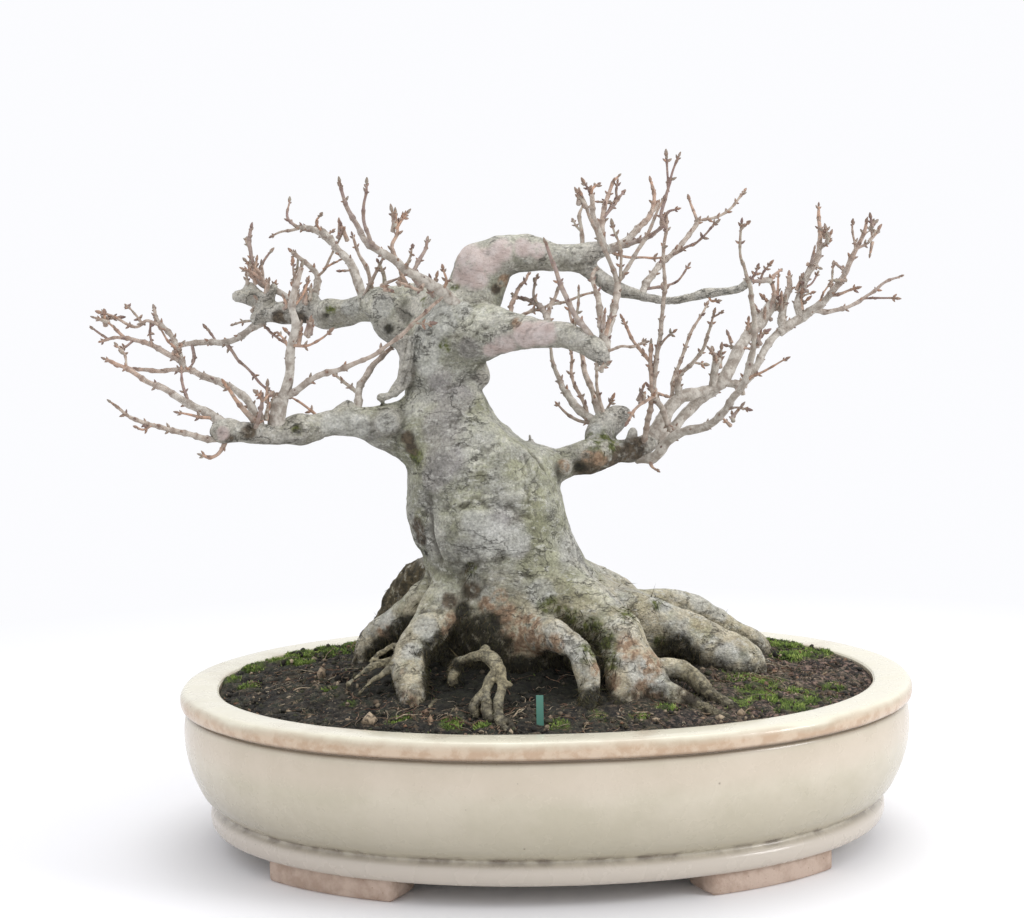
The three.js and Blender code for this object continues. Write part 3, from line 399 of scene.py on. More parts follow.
TWIGS = [
    # upper left limb and the trunk's shoulder
    (1.9, 0.95, 25, 48, -64.5, 197, -70, 211.5, -76, 219, -82, 225.5, -91.5, 227.5),
    (0.7, 48, 54, -91, 227, -97.5, 225.5, -102, 224),
    (0.7, 48, 60, -91.5, 227, -96, 231, -96, 237.5),
    (0.5, 42, 34, -82, 225.5, -84, 229, -82, 231.5),
    (0.5, 31, 26, -69.5, 210.5, -73.5, 210.5),
    (0.6, 41, 44, -80, 224, -78, 225.5),
    (2.2, 0.5, -7, -34, -29, 197.5, -38, 205, -45.5, 210, -52, 215, -59.5, 220, -64, 227.5, -67, 234, -68.5,
     241.5),
    (0.9, 0.4, -21, -40, -56.5, 218, -59.5, 222.5, -60.5, 230.5, -58.5, 241),
    (0.8, 0.4, -17, -8, -50, 213.5, -52, 219.5, -50, 225, -50.5, 231),
    (0.5, -11, -8, -50.5, 225.5, -46.5, 230.5),
    (0.9, 0.45, -14, -2, -45, 209.5, -43, 213.5, -41, 217.5, -40, 221),
    (0.6, -16, -28, -47, 211, -45.5, 215, -44, 219),
    (0.8, 0.4, -12, -26, -40.5, 206.5, -43, 203.5, -46.5, 205, -49, 206.5),
    (0.6, -9, -16, -35, 202, -33, 206, -33.5, 211),
    (1, 0.45, 24, 14, -62, 199.5, -63, 208.5, -66, 216.5, -68, 223.5),
    (0.9, 0.5, 30, 8, -73, 195, -67.5, 197.5, -63, 204.5, -59.5, 210.5, -56.5, 215.5),
    (1.5, 0.7, 39, 52, -86.5, 197.5, -85, 203, -85, 209, -89.5, 214, -94.5, 218),
    (0.6, 0.4, 45, 40, -85, 207.5, -81.5, 211.5, -78, 217.5, -74, 224.5),
    (0.5, 43, 38, -82, 211, -77.5, 213.5, -74.5, 215),
    (0.5, 50, 56, -92, 215.5, -93.5, 211, -95.5, 206),
    (1.4, 0.65, 42, 58, -93, 196.5, -96, 200, -101.5, 203.5, -107, 205.5, -110, 210.5, -111.5, 219, -111,
     227),
    (0.8, 0.4, 48, 42, -104, 204, -107.5, 209, -112.5, 211.5),
    (0.6, 0.4, 52, 60, -109, 209, -107, 214, -104, 218),
    (0.5, 55, 64, -111.5, 219, -114, 223),
    (1.1, 0.45, 21, 10, -57, 202, -57, 208.5, -58.5, 213.5),
    (1.6, 1.05, 48, 62, -106, 191, -112, 188, -118, 184.5, -126, 183, -135.5, 182.5, -143, 181.5),
    (0.7, 0.4, 59, 52, -136, 182.5, -135, 177, -136, 174),
    (0.6, 57, 62, -126, 183, -130.5, 188.5),
    (0.7, 0.4, 56, 40, -123, 184, -116, 175.5, -108.5, 168, -101, 163),
    (0.5, 0.4, 49, 40, -108.5, 192.5, -101, 185, -96.5, 182.5),
    (0.6, 0.4, 49, 56, -107, 191.5, -114.5, 191, -119, 190),
    # lower left limb
    (1.2, 0.4, -31, -52, -113, 153, -118.5, 153.5, -124.5, 156, -133, 158.5, -139.5, 161.5, -143, 164, -147,
     168),
    (0.5, -42, -49, -134.5, 159.5, -138, 158.5, -139.5, 159),
    (1.8, 0.55, -30, -18, -111.5, 158, -117, 161, -124.5, 165, -133.5, 170.5, -141, 173.5, -147.5, 177.5,
     -155, 181),
    (0.6, -29, -34, -115.5, 160, -121.5, 161, -127.5, 163),
    (0.6, 0.4, -26, -20, -125, 165.5, -127, 172, -128, 177),
    (0.5, -20, -12, -147.5, 177.5, -149, 183, -152, 185.5),
    (1.6, 0.55, -24, 6, -99, 153.5, -105.5, 166.5, -114.5, 172, -123, 174.5, -129, 176.5, -138.5, 175.5,
     -148.5, 176.5, -154.5, 177.5),
    (1.2, 0.65, -7, 14, -129, 176.5, -132, 183, -136, 189, -140.5, 193.5, -143, 198),
    (1.1, 0.55, -5, 20, -130, 179, -139, 183, -147.5, 186.5, -156, 187.5, -164, 186),
    (0.5, 18, 24, -161, 186.5, -164.5, 189, -168, 191),
    (0.6, 13, 20, -154, 187.5, -159, 191.5, -162.5, 194),
    (0.5, 9, 2, -150, 186.5, -152, 184.5, -153, 183.5),
    (0.7, 0.4, 6, 22, -138.5, 191.5, -144.5, 193.5, -150, 191.5, -156.5, 194, -164, 196.5),
    (0.5, 12, 26, -147, 192.5, -151, 196, -155.5, 199),
    (0.5, 10, 4, -143.5, 193, -143, 189, -142.5, 186),
    (0.5, -2, -8, -132.5, 183.5, -134.5, 187, -136.5, 190.5),
    (1.1, 0.5, -25, -34, -100.5, 156.5, -104.5, 162.5, -107.5, 167, -110.5, 172.5),
    (2.3, 1, -21, -26, -94, 153.5, -92.5, 163.5, -90.5, 170, -89, 177, -88, 185, -86.5, 192, -87.5, 199,
     -85.5, 206, -83.5, 212.5),
    (0.6, -24, -32, -88, 185, -82, 185, -77.5, 187.5, -74, 190),
    (0.5, -25, -18, -87.5, 198, -83.5, 202.5, -82, 207.5),
    (0.6, -23, -16, -88, 182.5, -91, 186.5, -93.5, 189),
    (0.5, -25, -30, -85, 207, -86, 210.5, -86, 214),
    (1.3, 0.55, -22, -46, -92, 166, -84.5, 170.5, -78.5, 174, -71, 176.5, -64.5, 179, -57, 182.5, -48.5,
     188.5, -43, 193.5, -35, 200.5),
    (0.4, -43, -48, -44, 192.5, -40.5, 193, -37.5, 193),
    (0.6, -14, -12, -79, 157.5, -82.5, 160.5, -87, 164, -90.5, 166),
    (0.9, 0.55, -26, -34, -103, 154, -100.5, 157.5, -98.5, 163.5, -98, 167.5),
    (0.5, -33, -38, -98, 166, -99.5, 169.5),
    (0.5, -33, -30, -98, 166, -95.5, 168),
    (1.6, 0.75, -8, 14, -66.5, 159.5, -66.5, 166, -64, 171, -60, 177, -54, 182),
    (0.8, 0.45, -2, 6, -66.5, 166, -71, 169, -76, 172.5),
    (0.8, 0.55, -30, -34, -111, 155.5, -113.5, 148.5, -116.5, 146.5, -119.5, 147.5),
    # lower right limb, fanning out to the right
    (3.2, 1.7, 14, 24, 40.5, 144.5, 45, 150, 48.5, 156, 53, 160.5, 58.5, 161.5, 64.5, 163, 70, 165.5),
    (1.7, 1.6, 23, 20, 66, 163.5, 66, 169.5, 67.5, 175.5),
    (2.4, 2.15, 24, 34, 68.5, 165, 73, 171.5, 77, 178, 81, 184),
    (1.6, 0.9, 19, 12, 52.5, 160, 52, 166, 52.5, 169.5),
    (0.9, 0.45, 12, -2, 52.5, 169.5, 57, 174.5, 61, 179.5, 63, 186.5, 64, 192.5),
    (0.5, 8, 12, 57, 174.5, 58.5, 174, 61, 173.5),
    (0.5, -1, -6, 63.5, 191, 66, 193),
    (0.8, 0.45, 18, 36, 49.5, 156.5, 51, 167, 55, 175.5, 58, 183.5, 62, 189, 65, 194),
    (2.2, 1.9, 14, 30, 44, 145, 50, 148.5, 55.5, 154, 61, 159, 68, 163),
    (2.1, 1.15, 12, -16, 36, 138.5, 42, 139.5, 47, 145, 52, 149, 60, 151, 64.5, 155, 68.5, 160.5, 72, 165.5),
    (1.4, 0.4, -16, -42, 72, 165.5, 75, 174, 76, 182, 76, 190, 75, 196.5, 74, 203, 71.5, 209.5, 69.5, 215.5,
     70, 224.5),
    (0.4, -41, -46, 69.5, 222, 71.5, 224.5),
    (0.6, -17, -28, 73.5, 169, 77.5, 171, 82.5, 174, 87, 176.5),
    (0.5, -10, -20, 67, 158, 70.5, 159, 74, 159),
    (0.7, 9, 4, 40.5, 139.5, 41, 136, 43, 134.5),
    (1.5, 1.4, 24, 34, 69.5, 165.5, 78, 165.5, 83, 171, 87, 178, 92.5, 183.5),
    (1.9, 1.75, 34, 36, 92.5, 183.5, 97, 186, 101.5, 188.5),
    (1.7, 0.55, 36, 22, 101.5, 188.5, 106.5, 192.5, 111, 196.5, 114.5, 201.5, 118, 208.5, 120.5, 214.5, 123,
     220.5, 124, 224.5),
    (0.5, 26, 18, 120.5, 214, 119, 219, 118.5, 224),
    (0.6, 26, 34, 120.5, 214.5, 126.5, 217.5, 128.5, 224),
    (1.1, 0.45, 35, 50, 105, 191.5, 112.5, 191, 120, 192.5, 125.5, 195, 131, 198.5, 136.5, 202, 142, 203.5),
    (0.5, 43, 36, 126.5, 195.5, 132, 195.5, 137.5, 195.5),
    (0.8, 0.4, 32, 26, 111.5, 197, 116, 198, 120.5, 200),
    (0.5, 34, 28, 107, 193, 109, 197.5, 111, 201.5),
    (0.5, 31, 38, 112, 197.5, 113, 203, 114, 208.5),
    (1.9, 0.5, 36, 52, 101.5, 188.5, 100.5, 194.5, 102.5, 200, 105.5, 206, 109, 212, 110.5, 218.5, 110.5,
     225.5, 110.5, 231.5),
    (0.9, 0.7, 46, 42, 110, 215, 113, 217.5),
    (0.5, 40, 48, 102, 199.5, 106.5, 201, 109, 205),
    (0.5, 39, 34, 101, 196, 103, 197.5, 105, 198.5),
    (2.7, 1.55, 34, 38, 81, 184, 85.5, 187.5, 88.5, 191.5, 92.5, 195),
    (1.7, 0.85, 34, 44, 94, 184, 94.5, 193.5, 97, 199.5, 98, 204.5),
    (1, 0.6, 37, 32, 90.5, 193, 90.5, 199, 89, 203.5),
    (1.4, 0.6, 32, 28, 89, 203.5, 85, 203.5, 82, 203.5),
    (0.6, 30, 24, 85, 203.5, 86, 207, 88, 209.5),
    (0.7, 0.45, 32, 40, 89, 203.5, 91.5, 205.5, 94, 207),
    (0.6, 0.4, 38, 46, 92.5, 194.5, 93, 200, 94, 205),
    (0.6, -31, -36, 73.5, 204.5, 75.5, 207, 76, 209),
    (0.5, -23, -28, 60, 200, 61, 198, 63, 198),
    # between the lower right limb and the front limb
    (1.1, 0.85, 12, -6, 38, 142.5, 39.5, 151.5, 40.5, 157.5, 41.5, 163),
    (0.9, 0.7, -6, -12, 41.5, 163, 40.5, 171, 40.5, 182.5),
    (0.8, 0.45, -10, 0, 40.5, 175.5, 37.5, 179, 34, 184, 31, 191),
    (1.1, 0.95, -6, 8, 41.5, 163, 45, 157, 48.5, 149),
    (0.7, 0.45, -6, -14, 41.5, 163, 38, 161, 34, 158, 31.5, 155),
    (0.9, 0.5, -7, -36, 41.5, 166, 43, 181, 43.5, 191, 44.5, 202, 44, 214.5, 44.5, 225.5),
    (0.5, -13, -20, 42.5, 180.5, 45, 184.5, 47.5, 187),
    (0.7, 0.4, -35, -46, 44.5, 223.5, 42.5, 228.5, 44.5, 234.5, 46, 241.5, 48.5, 247.5),
    (0.5, -41, -36, 45, 236, 45, 242, 45, 248),
    (1.9, 1.3, 14, 24, 23.5, 150, 16, 156, 12.5, 160, 9, 165),
    (1.1, 0.55, 24, 34, 9, 165, 8, 168, 6, 174, 5, 180),
    (0.8, 0.5, 16, 32, 18.5, 154, 16, 161, 13, 167.5, 12.5, 177.5),
    (1.3, 0.85, 15, 28, 22.5, 154.5, 20, 163, 17.5, 171, 16, 179.5),
    (0.8, 0.5, 15, 6, 25, 151.5, 21.5, 165, 21.5, 175),
    (0.7, 0.4, 14, 22, 23.5, 150, 13, 154, 9.5, 156, 7, 158.5),
    (0.6, 17, 14, 25, 155.5, 26, 158.5, 27, 161),
    # short front limb
    (1.6, 0.85, -42, -30, 22.5, 178, 22, 186, 21, 195, 20, 202.5),
    (0.8, 0.55, -30, -22, 20, 202, 19, 207.5, 20, 209.5),
    (1.4, 1.15, -39, -22, 23, 182, 24, 188.5, 26.5, 196, 28, 204.5),
    (0.9, 0.4, -22, -34, 28, 204.5, 25.5, 212, 22, 220, 18, 228.5, 15.5, 235.5),
    (0.9, 0.45, -22, -12, 28, 204.5, 33.5, 212.5, 38.5, 220, 42.5, 228, 45.5, 234),
    (0.6, -22, -30, 29, 205.5, 29.5, 214.5, 28, 220.5, 26.5, 225),
    (1.2, 0.55, -39, -30, 21.5, 182, 15.5, 189.5, 12, 195.5, 8.5, 203, 5.5, 211.5, 2.5, 219.5),
    (0.6, 0.4, -40, -52, 22.5, 181.5, 27.5, 183, 32, 183.5, 35.5, 185),
    (0.7, 0.5, -15, 18, -7.5, 193, 0.5, 195.5, 9.5, 197.5, 20.5, 200.5),
    (1.4, 0.6, -26, 8, 3.5, 190, 2, 194, -1, 197.5, -8.5, 200),
    (0.9, 0.5, -17, 4, 2.5, 193, 5.5, 198.5, 8.5, 203.5),
    (0.7, 0.4, -5, 8, -0.5, 197, -1.5, 201.5, 0, 207),
    (0.9, 0.45, -15, 14, -10.5, 193, -9, 199.5, -6.5, 204, -3.5, 207.5),
    (0.6, -33, -20, 12.5, 188, 11, 194, 10, 199.5),
    (0.5, -33, -26, 12, 186, 13.5, 196.5, 14, 202.5),
    # bent top
    (1.7, 0.8, -4, -16, 25, 215.5, 23, 221.5, 21, 226.5, 20, 231.5, 19.5, 236),
    (0.5, -15, -19, 19.5, 235, 18.5, 237.5, 17, 240),
    (0.5, -16, -12, 19.5, 235.5, 20, 238, 22, 239.5),
    (0.9, 0.45, -3, 6, 16.5, 217.5, 16.5, 223, 16, 229, 17, 232.5),
    (0.5, 0, 8, 16.5, 223, 15, 224.5, 13.5, 227),
    (1.2, 0.4, -4, 8, 24.5, 216.5, 24, 223.5, 24.5, 230, 26.5, 236.5, 28.5, 241, 30.5, 243),
    (0.7, 0, 12, 24.5, 228, 28, 232.5, 30.5, 235, 32.5, 237),
    (0.5, 7, 5, 30, 234.5, 29.5, 237.5, 30, 240.5),
    (1.2, 0.45, -4, -20, 25, 215.5, 30.5, 218, 35.5, 219.5, 40.5, 221, 44.5, 224.5, 46.5, 229, 49.5, 230.5),
    (1.5, 0.5, -4, 16, 26.5, 217, 33.5, 220.5, 38.5, 225, 42, 229, 43.5, 234.5, 43, 241.5),
    (0.8, 0.6, 8, 12, 41.5, 228.5, 44, 231.5, 45, 233),
    (0.6, 0.4, -4, 6, 25, 216.5, 32, 214, 39.5, 213, 46.5, 213.5),
    (1.4, 0.75, -12, 16, 37, 200, 40.5, 206, 44.5, 211, 49.5, 214.5, 54.5, 219, 60.5, 226.5),
    (0.7, 16, 22, 60, 226.5, 59, 230.5, 58, 234.5),
    (0.6, 0.4, 16, 26, 60, 226.5, 67, 227.5, 72.5, 230.5, 76, 234, 78.5, 237),
    (0.7, 5, -10, 49.5, 214, 54.5, 217, 59.5, 220, 64.5, 225),
    (0.6, -10, -4, 38.5, 202, 45.5, 203, 51, 205, 54.5, 210),
    # thicker lengths of old twig
    (3.1, 2.2, -21, -22, -95, 154, -94.5, 160, -93, 166),
    (1.5, 1.2, 42, 47, -78, 221, -84, 226, -89.5, 227.5),
    (2.5, 2.1, 35, 38, 84, 186, 88, 191, 91.5, 195.5),
]
print(len(LIMBS), "limbs,", len(ROOTS) + len(ARCH_ROOT), "roots and", len(TWIGS), "twigs")

# %% [markdown]
# Where the photo shows a knot, a healed cut or a bump, a short stem of its own is added, and where it
# shows a hollow, one is taken away.

# %% Knots and hollows
KNOTS = [
    # how widely it melts into the wood, then its points
    (3, [(-55.5, -8, 156, 5.5), (-55.5, -11, 156, 4.2)]),  # ring knot where the lower left limb starts
    (3, [(-86.5, -18, 154.5, 5.2), (-87, -21.5, 154.5, 3.6)]),  # eye knot farther along it
    (3, [(-110.5, -29, 155.5, 4.2), (-112, -32, 155.5, 3.2)]),  # its cut end
    (3, [(-71, -8, 160, 3.4), (-70, -8, 161.5, 2.6)]),
    (4, [(-58, 13, 197.5, 7.2), (-57, 11, 196, 6.6)]),  # smooth bulge of the upper left limb
    (4, [(-54.5, 10, 190, 6), (-49, 8, 186, 6)]),
    (4, [(-79, 29, 195.5, 4.8), (-81, 31, 194, 4.8)]),
    (2, [(-87, 36, 198, 3.6), (-85.5, 36, 200, 2.4)]),
    (2, [(-106.5, 48, 199, 3), (-110, 50, 202, 3), (-111.5, 51, 204.5, 2.2)]),
    (2, [(-112, 50, 200.5, 2.8), (-116, 50, 201, 2.4)]),
    (2, [(-104, 47, 200.5, 2.6), (-101.5, 45, 204.5, 1.7)]),
    (3, [(-22, 1, 212.3, 7), (-21, 2, 208, 6.8)]),  # the apex has three lobes
    (1.5, [(-13.5, 0, 216, 5.6), (-13, 0, 214, 5.6)]),
    (1.5, [(-4.5, 1, 217.3, 5.2), (-3, 1, 215.5, 5.2)]),
    (3, [(-4, -24.5, 187, 4.4), (4, -29, 187, 4)]),  # under the scar of the front right limb
    (2, [(8.5, -1, 137.5, 3), (9, -4, 136.5, 2)]),
    (3, [(17, 4, 141, 5.4), (23, 6, 141, 4.8)]),  # swelling under the right limb's stump
    (2, [(21.5, 12, 147, 4.6), (24, 14, 151.5, 4.2), (28, 16, 154, 3.8), (30, 16.5, 154.5, 3.4)]),
    (1.5, [(34, 8, 146, 2.4), (34.5, 8, 149, 1.6)]),
    (6, [(-26, -17, 118, 11.5), (-19, -17, 113, 12)]),  # boss in the middle of the trunk
    (4, [(-42.5, -2, 122, 7), (-40.5, -3, 114, 7)]),  # lobe on the left of the trunk
    (2, [(-22, -2, 173.5, 3.5), (-21.5, -3, 171, 3.5)]),
    (4, [(30.5, -45, 71.5, 7.6), (32.5, -46, 67, 7.6)]),
    (5, [(-52, -2, 150, 6.6), (-58, -4, 151.5, 5.6)]),
    (2, [(-50, -4, 184.5, 3), (-48, -5, 179, 3), (-48.5, -6, 174, 3), (-50, -6, 170, 2.6),
         (-53, -6, 166.5, 2.2)]),  # strip of torn bark, and its dark edge
    (0.6, [(-46, -9, 186, 1.5), (-47, -10, 179, 1.5), (-48.5, -9, 173.5, 1.5), (-50, -8, 168.5, 1.4),
           (-54, -8, 165.5, 1.3), (-58, -7, 164.5, 1.8)]),
    (0.6, [(-2, 2, 144, 1.2), (-3.5, 1, 147, 0.9), (-4, 0, 149, 0.7)]),  # dead thorn
]
WAISTS = [
    # cut from the trunk and roots before the limbs are put on, each from front to back
    [(9.5, -60, 173.5, 31.5), (9.5, 60, 173.5, 31.5)],
    [(42, -60, 121.5, 32.5), (42, 60, 121.5, 32.5)],
    [(-50.5, -60, 105.5, 6), (-50.5, 60, 105.5, 6)],
]
HOLLOWS = [
    [(-36, -26, 66, 8), (-28, -34, 68, 9), (-16, -36, 62, 8), (-4, -42, 62, 8)],
    [(-40, -24, 60, 5), (-38, -30, 60, 6)],
    [(-27, -42, 68, 3.6), (-28, -36, 68, 4)],
    [(40, -24, 76, 5), (44, -26, 70, 7), (48, -28, 64, 7)],
    [(14, -36, 74, 3), (17, -40, 68, 3.5), (20, -42, 62, 3.5)],
    [(-30, 26, 62, 8), (-36, 30, 60, 8)],
]
print(len(KNOTS), "knots and", len(HOLLOWS), "hollows")

# %% [markdown]
# The field is worked out stem by stem, each only in the block of cells that it can reach. The trunk comes
# first, then the roots, then limbs and knots, and the cuts between them. The arched root goes on last, so
# that no hollow cuts it.

# %% The field of the wood
CELL = 1.0
WOOD_LOW = np.array([-124.0, -92.0, 51.0])
WOOD_HIGH = np.array([96.0, 82.0, 228.0])
# The field's value far from any wood, and how far outside a stem its field is worked out
FAR, ROOM = 12.0, 7
cells = np.ceil((WOOD_HIGH - WOOD_LOW) / CELL).astype(int) + 1
AXES = [WOOD_LOW[i] + CELL * np.arange(cells[i]) for i in range(3)]
field = np.full(cells, FAR, np.float32)
girth = np.ones(cells, np.float32)


def block(lowest, highest):
    """The slices of the lattice between two corners."""
    first = np.clip(((lowest - WOOD_LOW) / CELL).astype(int), 0, cells)
    last = np.clip(((highest - WOOD_LOW) / CELL).astype(int) + 2, 0, cells)
    return tuple(slice(a, b) for a, b in zip(first, last))


def melt(a, b, width):
    """The lower of two fields, rounded off where they differ by less than width."""
    near = np.maximum(width - np.abs(a - b), 0) / width
    return np.minimum(a, b) - near * near * width / 4


def stem_field(points, room):
    """Distance to a stem: the smallest of the distances to its short lengths, each of them to the
    middle line less the radius there."""
    path = smooth_path(points, max(1.5, 0.2 * min(p[3] for p in points)))
    reach = path[:, 3].max() + room
    whole = block(path[:, :3].min(axis=0) - reach, path[:, :3].max(axis=0) + reach)
    own = np.full([s.stop - s.start for s in whole], FAR, np.float32)
    thick = np.ones_like(own)
    for start, end in zip(path[:-1], path[1:]):
        reach = max(start[3], end[3]) + room
        part = block(np.minimum(start, end)[:3] - reach, np.maximum(start, end)[:3] + reach)
        x, y, z = np.ix_(*[axis[s].astype(np.float32) for axis, s in zip(AXES, part)])
        run = (end - start).astype(np.float32)
        along = ((x - start[0]) * run[0] + (y - start[1]) * run[1] + (z - start[2]) * run[2])
        along = np.clip(along / (run[:3] @ run[:3] + 1e-9), 0, 1)
        away = np.sqrt((x - start[0] - along * run[0]) ** 2 + (y - start[1] - along * run[1]) ** 2
                       + (z - start[2] - along * run[2]) ** 2)
        radius = start[3] + along * run[3]
        here = tuple(slice(p.start - w.start, p.stop - w.start) for p, w in zip(part, whole))
        closer = away - radius < own[here]
        own[here] = np.where(closer, away - radius, own[here])
        thick[here] = np.where(closer, radius, thick[here])
    return whole, own, thick


def put_on(melting, points):
    """Melts a stem into the field."""
    where, own, thick = stem_field(points, ROOM)
    girth[where] = np.where(own < field[where], thick, girth[where])
    field[where] = melt(field[where], own, melting)


def take_off(melting, points):
    """Takes a stem out of the field."""
    where, own, _ = stem_field(points, ROOM)
    field[where] = -melt(-field[where], own, melting)


put_on(1, TRUNK)
for points in ROOTS.values():
    put_on(min(6, 0.55 * points[0][3]), points)
for points in WAISTS:
    take_off(3, points)
for points in LIMBS.values():
    put_on(min(5, 0.4 * points[0][3]), points)
for melting, points in KNOTS:
    put_on(melting, points)
for points in HOLLOWS:
    take_off(5, points)
for points in ARCH_ROOT.values():
    put_on(0.7, points)
print("field of", field.size, "cells,", int((field < 0).sum()), "of them wood")

# %% [markdown]
# ### The skin of the field
#
# A surface net turns the field into faces: each cell that the skin passes through gets one point, at the
# mean of the places where the skin crosses its edges, and each crossed edge gets a quad between the four
# cells round it.

# %% The surface net
def surface_net(values, low, cell):
    """Points and quads of the surface where the values change sign. They are below 0 inside."""
    inside = values < 0
    size = np.array(values.shape) - 1
    corners = list(product((0, 1), repeat=3))
    count = sum(inside[i:i + size[0], j:j + size[1], k:k + size[2]].astype(np.int8) for i, j, k in corners)
    mixed = np.argwhere((count > 0) & (count < 8))
    number = np.full(size, -1, np.int32)
    number[tuple(mixed.T)] = np.arange(len(mixed))
    total, crossings = np.zeros((len(mixed), 3)), np.zeros(len(mixed))
    for a, b in product(corners, repeat=2):
        if sum(b) - sum(a) != 1 or any(q < p for p, q in zip(a, b)):
            continue
        from_a, from_b = values[tuple((mixed + a).T)], values[tuple((mixed + b).T)]
        crossed = (from_a < 0) != (from_b < 0)
        share = (from_a / np.where(crossed, from_a - from_b, 1))[:, None]
        total += np.where(crossed[:, None], a + share * (np.array(b) - a), 0)
        crossings += crossed
    points = (mixed + total / crossings[:, None]) * cell + low
    faces = []
    for axis in range(3):
        start = np.moveaxis(inside, axis, 0)[:-1]
        end = np.moveaxis(inside, axis, 0)[1:]
        edge = np.argwhere(start != end)
        edge = edge[(edge[:, 1:] > 0).all(axis=1)]
        edge = edge[(edge[:, 1] < start.shape[1] - 1) & (edge[:, 2] < start.shape[2] - 1)]
        leaving = start[tuple(edge.T)]
        moved = np.moveaxis(number, axis, 0)
        a, b, c = edge.T
        ring = [moved[a, b - 1 + u, c - 1 + v] for u, v in ((0, 0), (1, 0), (1, 1), (0, 1))]
        quad = np.stack(ring, axis=-1)
        flip = leaving if axis == 1 else ~leaving
        faces.append(np.where(flip[:, None], quad[:, ::-1], quad))
    return points, np.concatenate(faces)


bottom = WOOD_LOW[2] + 2.2 * CELL
field = np.maximum(field, (bottom - AXES[2]).astype(np.float32)[None, None, :])
skin, skin_faces = surface_net(field, WOOD_LOW, CELL)
place = np.clip(np.rint((skin - WOOD_LOW) / CELL).astype(int), 0, cells - 1)
skin_girth = girth[tuple(place.T)]
print("skin of", len(skin), "points")

# %% [markdown]
# ### Bark relief
#
# Real bark has slow lumps where wood has grown over old cuts, ridges that run down into the roots, and
# small wrinkles. Each is a noise that pushes the points along their normals, by less on thin wood.

# %% Helpers for the skin
def point_normals(points, faces):
    """Mean normal of the quads round each point: a quad's is the cross product of its diagonals."""
    across = np.cross(points[faces[:, 2]] - points[faces[:, 0]], points[faces[:, 3]] - points[faces[:, 1]])
    total = np.stack([sum(np.bincount(faces[:, k], across[:, i], len(points)) for k in range(4))
                      for i in range(3)], axis=-1)
    return total / np.maximum(np.linalg.norm(total, axis=1, keepdims=True), 1e-9)


def neighbour_mean(values, faces):
    """Mean of the points that share an edge with each point."""
    a, b = faces.ravel(), np.roll(faces, -1, axis=1).ravel()
    count = np.bincount(a, minlength=len(values)) + np.bincount(b, minlength=len(values))
    total = [np.bincount(a, column[b], len(column)) + np.bincount(b, column[a], len(column))
             for column in values.T]
    return np.stack(total, axis=-1) / count[:, None]


def segment_distance(points, path):
    """Distance from each point to the nearest of the straight lines between the path's points."""
    best = np.full(len(points), 1e9)
    for a, b in zip(path[:-1], path[1:]):
        run = b - a
        share = np.clip(((points - a) @ run) / (run @ run), 0, 1)
        best = np.minimum(best, np.linalg.norm(points - a - share[:, None] * run, axis=1))
    return best


normal = point_normals(skin, skin_faces)
print("normals of", len(normal), "points")

# %% [markdown]
# Creases are grooves along short paths, and an eye is a healed cut with a lip and a pit. Both were set
# where the photo shows them.

# %% Creases and eyes
CREASES = [
    # width, depth, then the points that the crease runs through
    (0.8, 0.9, [(-35, -23.5, 126.5), (-31, -26, 126), (-27.5, -27, 127.3)]),
    (0.8, 0.7, [(-27.5, -27, 127.5), (-23, -27.5, 128.8), (-19, -27.5, 126.5)]),
    (1, 0.9, [(-13, -26.5, 126.5), (-9, -26, 124.5), (-5, -24, 122)]),
    (0.8, 0.7, [(-18, -27.5, 123), (-18, -28, 116), (-19, -28, 110)]),
    (1.2, 1.1, [(-14, -28, 108), (-21, -27.5, 107.5), (-27, -26.5, 105), (-31, -25, 101)]),
    (1.6, 1.8, [(-40, -17, 131), (-40.5, -19, 121), (-39.5, -19, 112), (-38, -20, 106)]),
    (1, 1, [(-5, -17, 144), (-4, -19, 140), (-2.5, -19.5, 136)]),
    (0.8, 0.9, [(0.5, -13, 142), (2, -13, 139), (4, -12, 136)]),
    (1, 1.1, [(-3.5, -12, 146), (-3, -13, 143), (-0.5, -12, 140), (3, -11, 138)]),
    (0.9, 0.9, [(-7, -22, 132.5), (-5, -23, 129), (-4, -24, 126)]),
    (1.2, 1.1, [(-7, -28, 101), (3, -28.5, 99), (12, -32, 95), (20, -36, 92)]),
    (1, 1.8, [(-9.5, -8, 222), (-9, -8, 216), (-9, -7, 209)]),
    (0.9, 1.1, [(-16, -7, 221), (-15, -9, 216), (-15, -9, 213)]),
    (1.4, 1.8, [(-44.5, -10, 188), (-45, -12, 180), (-46.5, -12, 174), (-49, -10, 169.5)]),
    (0.9, 1.5, [(-44.5, -26, 88.5), (-42.5, -27, 89), (-40, -27, 89), (-37.5, -28, 88.5)]),
    (0.8, 1.2, [(-47.3, -28, 84.4), (-44.7, -31, 83.1), (-42.5, -32, 82.8)]),
    (0.9, 1.6, [(-48.8, -32, 82), (-46.5, -33, 80.5), (-43.5, -34, 79), (-41, -33, 78.5)]),
    (0.7, 1, [(-49, -36, 77), (-47, -38, 76), (-44.5, -37, 75.5)]),
    (0.7, 0.9, [(-47, -42, 71), (-44.5, -42, 70.5)]),
    (1.6, 2, [(-47, -9, 88), (-50, -9, 82), (-52, -10, 76)]),
    (1.3, 1.5, [(-28, -23, 96), (-31, -27, 86), (-34, -28, 78)]),
    (1.3, 1.5, [(14, -30, 90), (22, -33, 85), (29, -34, 81), (38, -34, 75)]),
    (1.4, 1.6, [(36, 8, 87), (50, 12, 81), (62, 14, 76), (72, 16, 71)]),
]
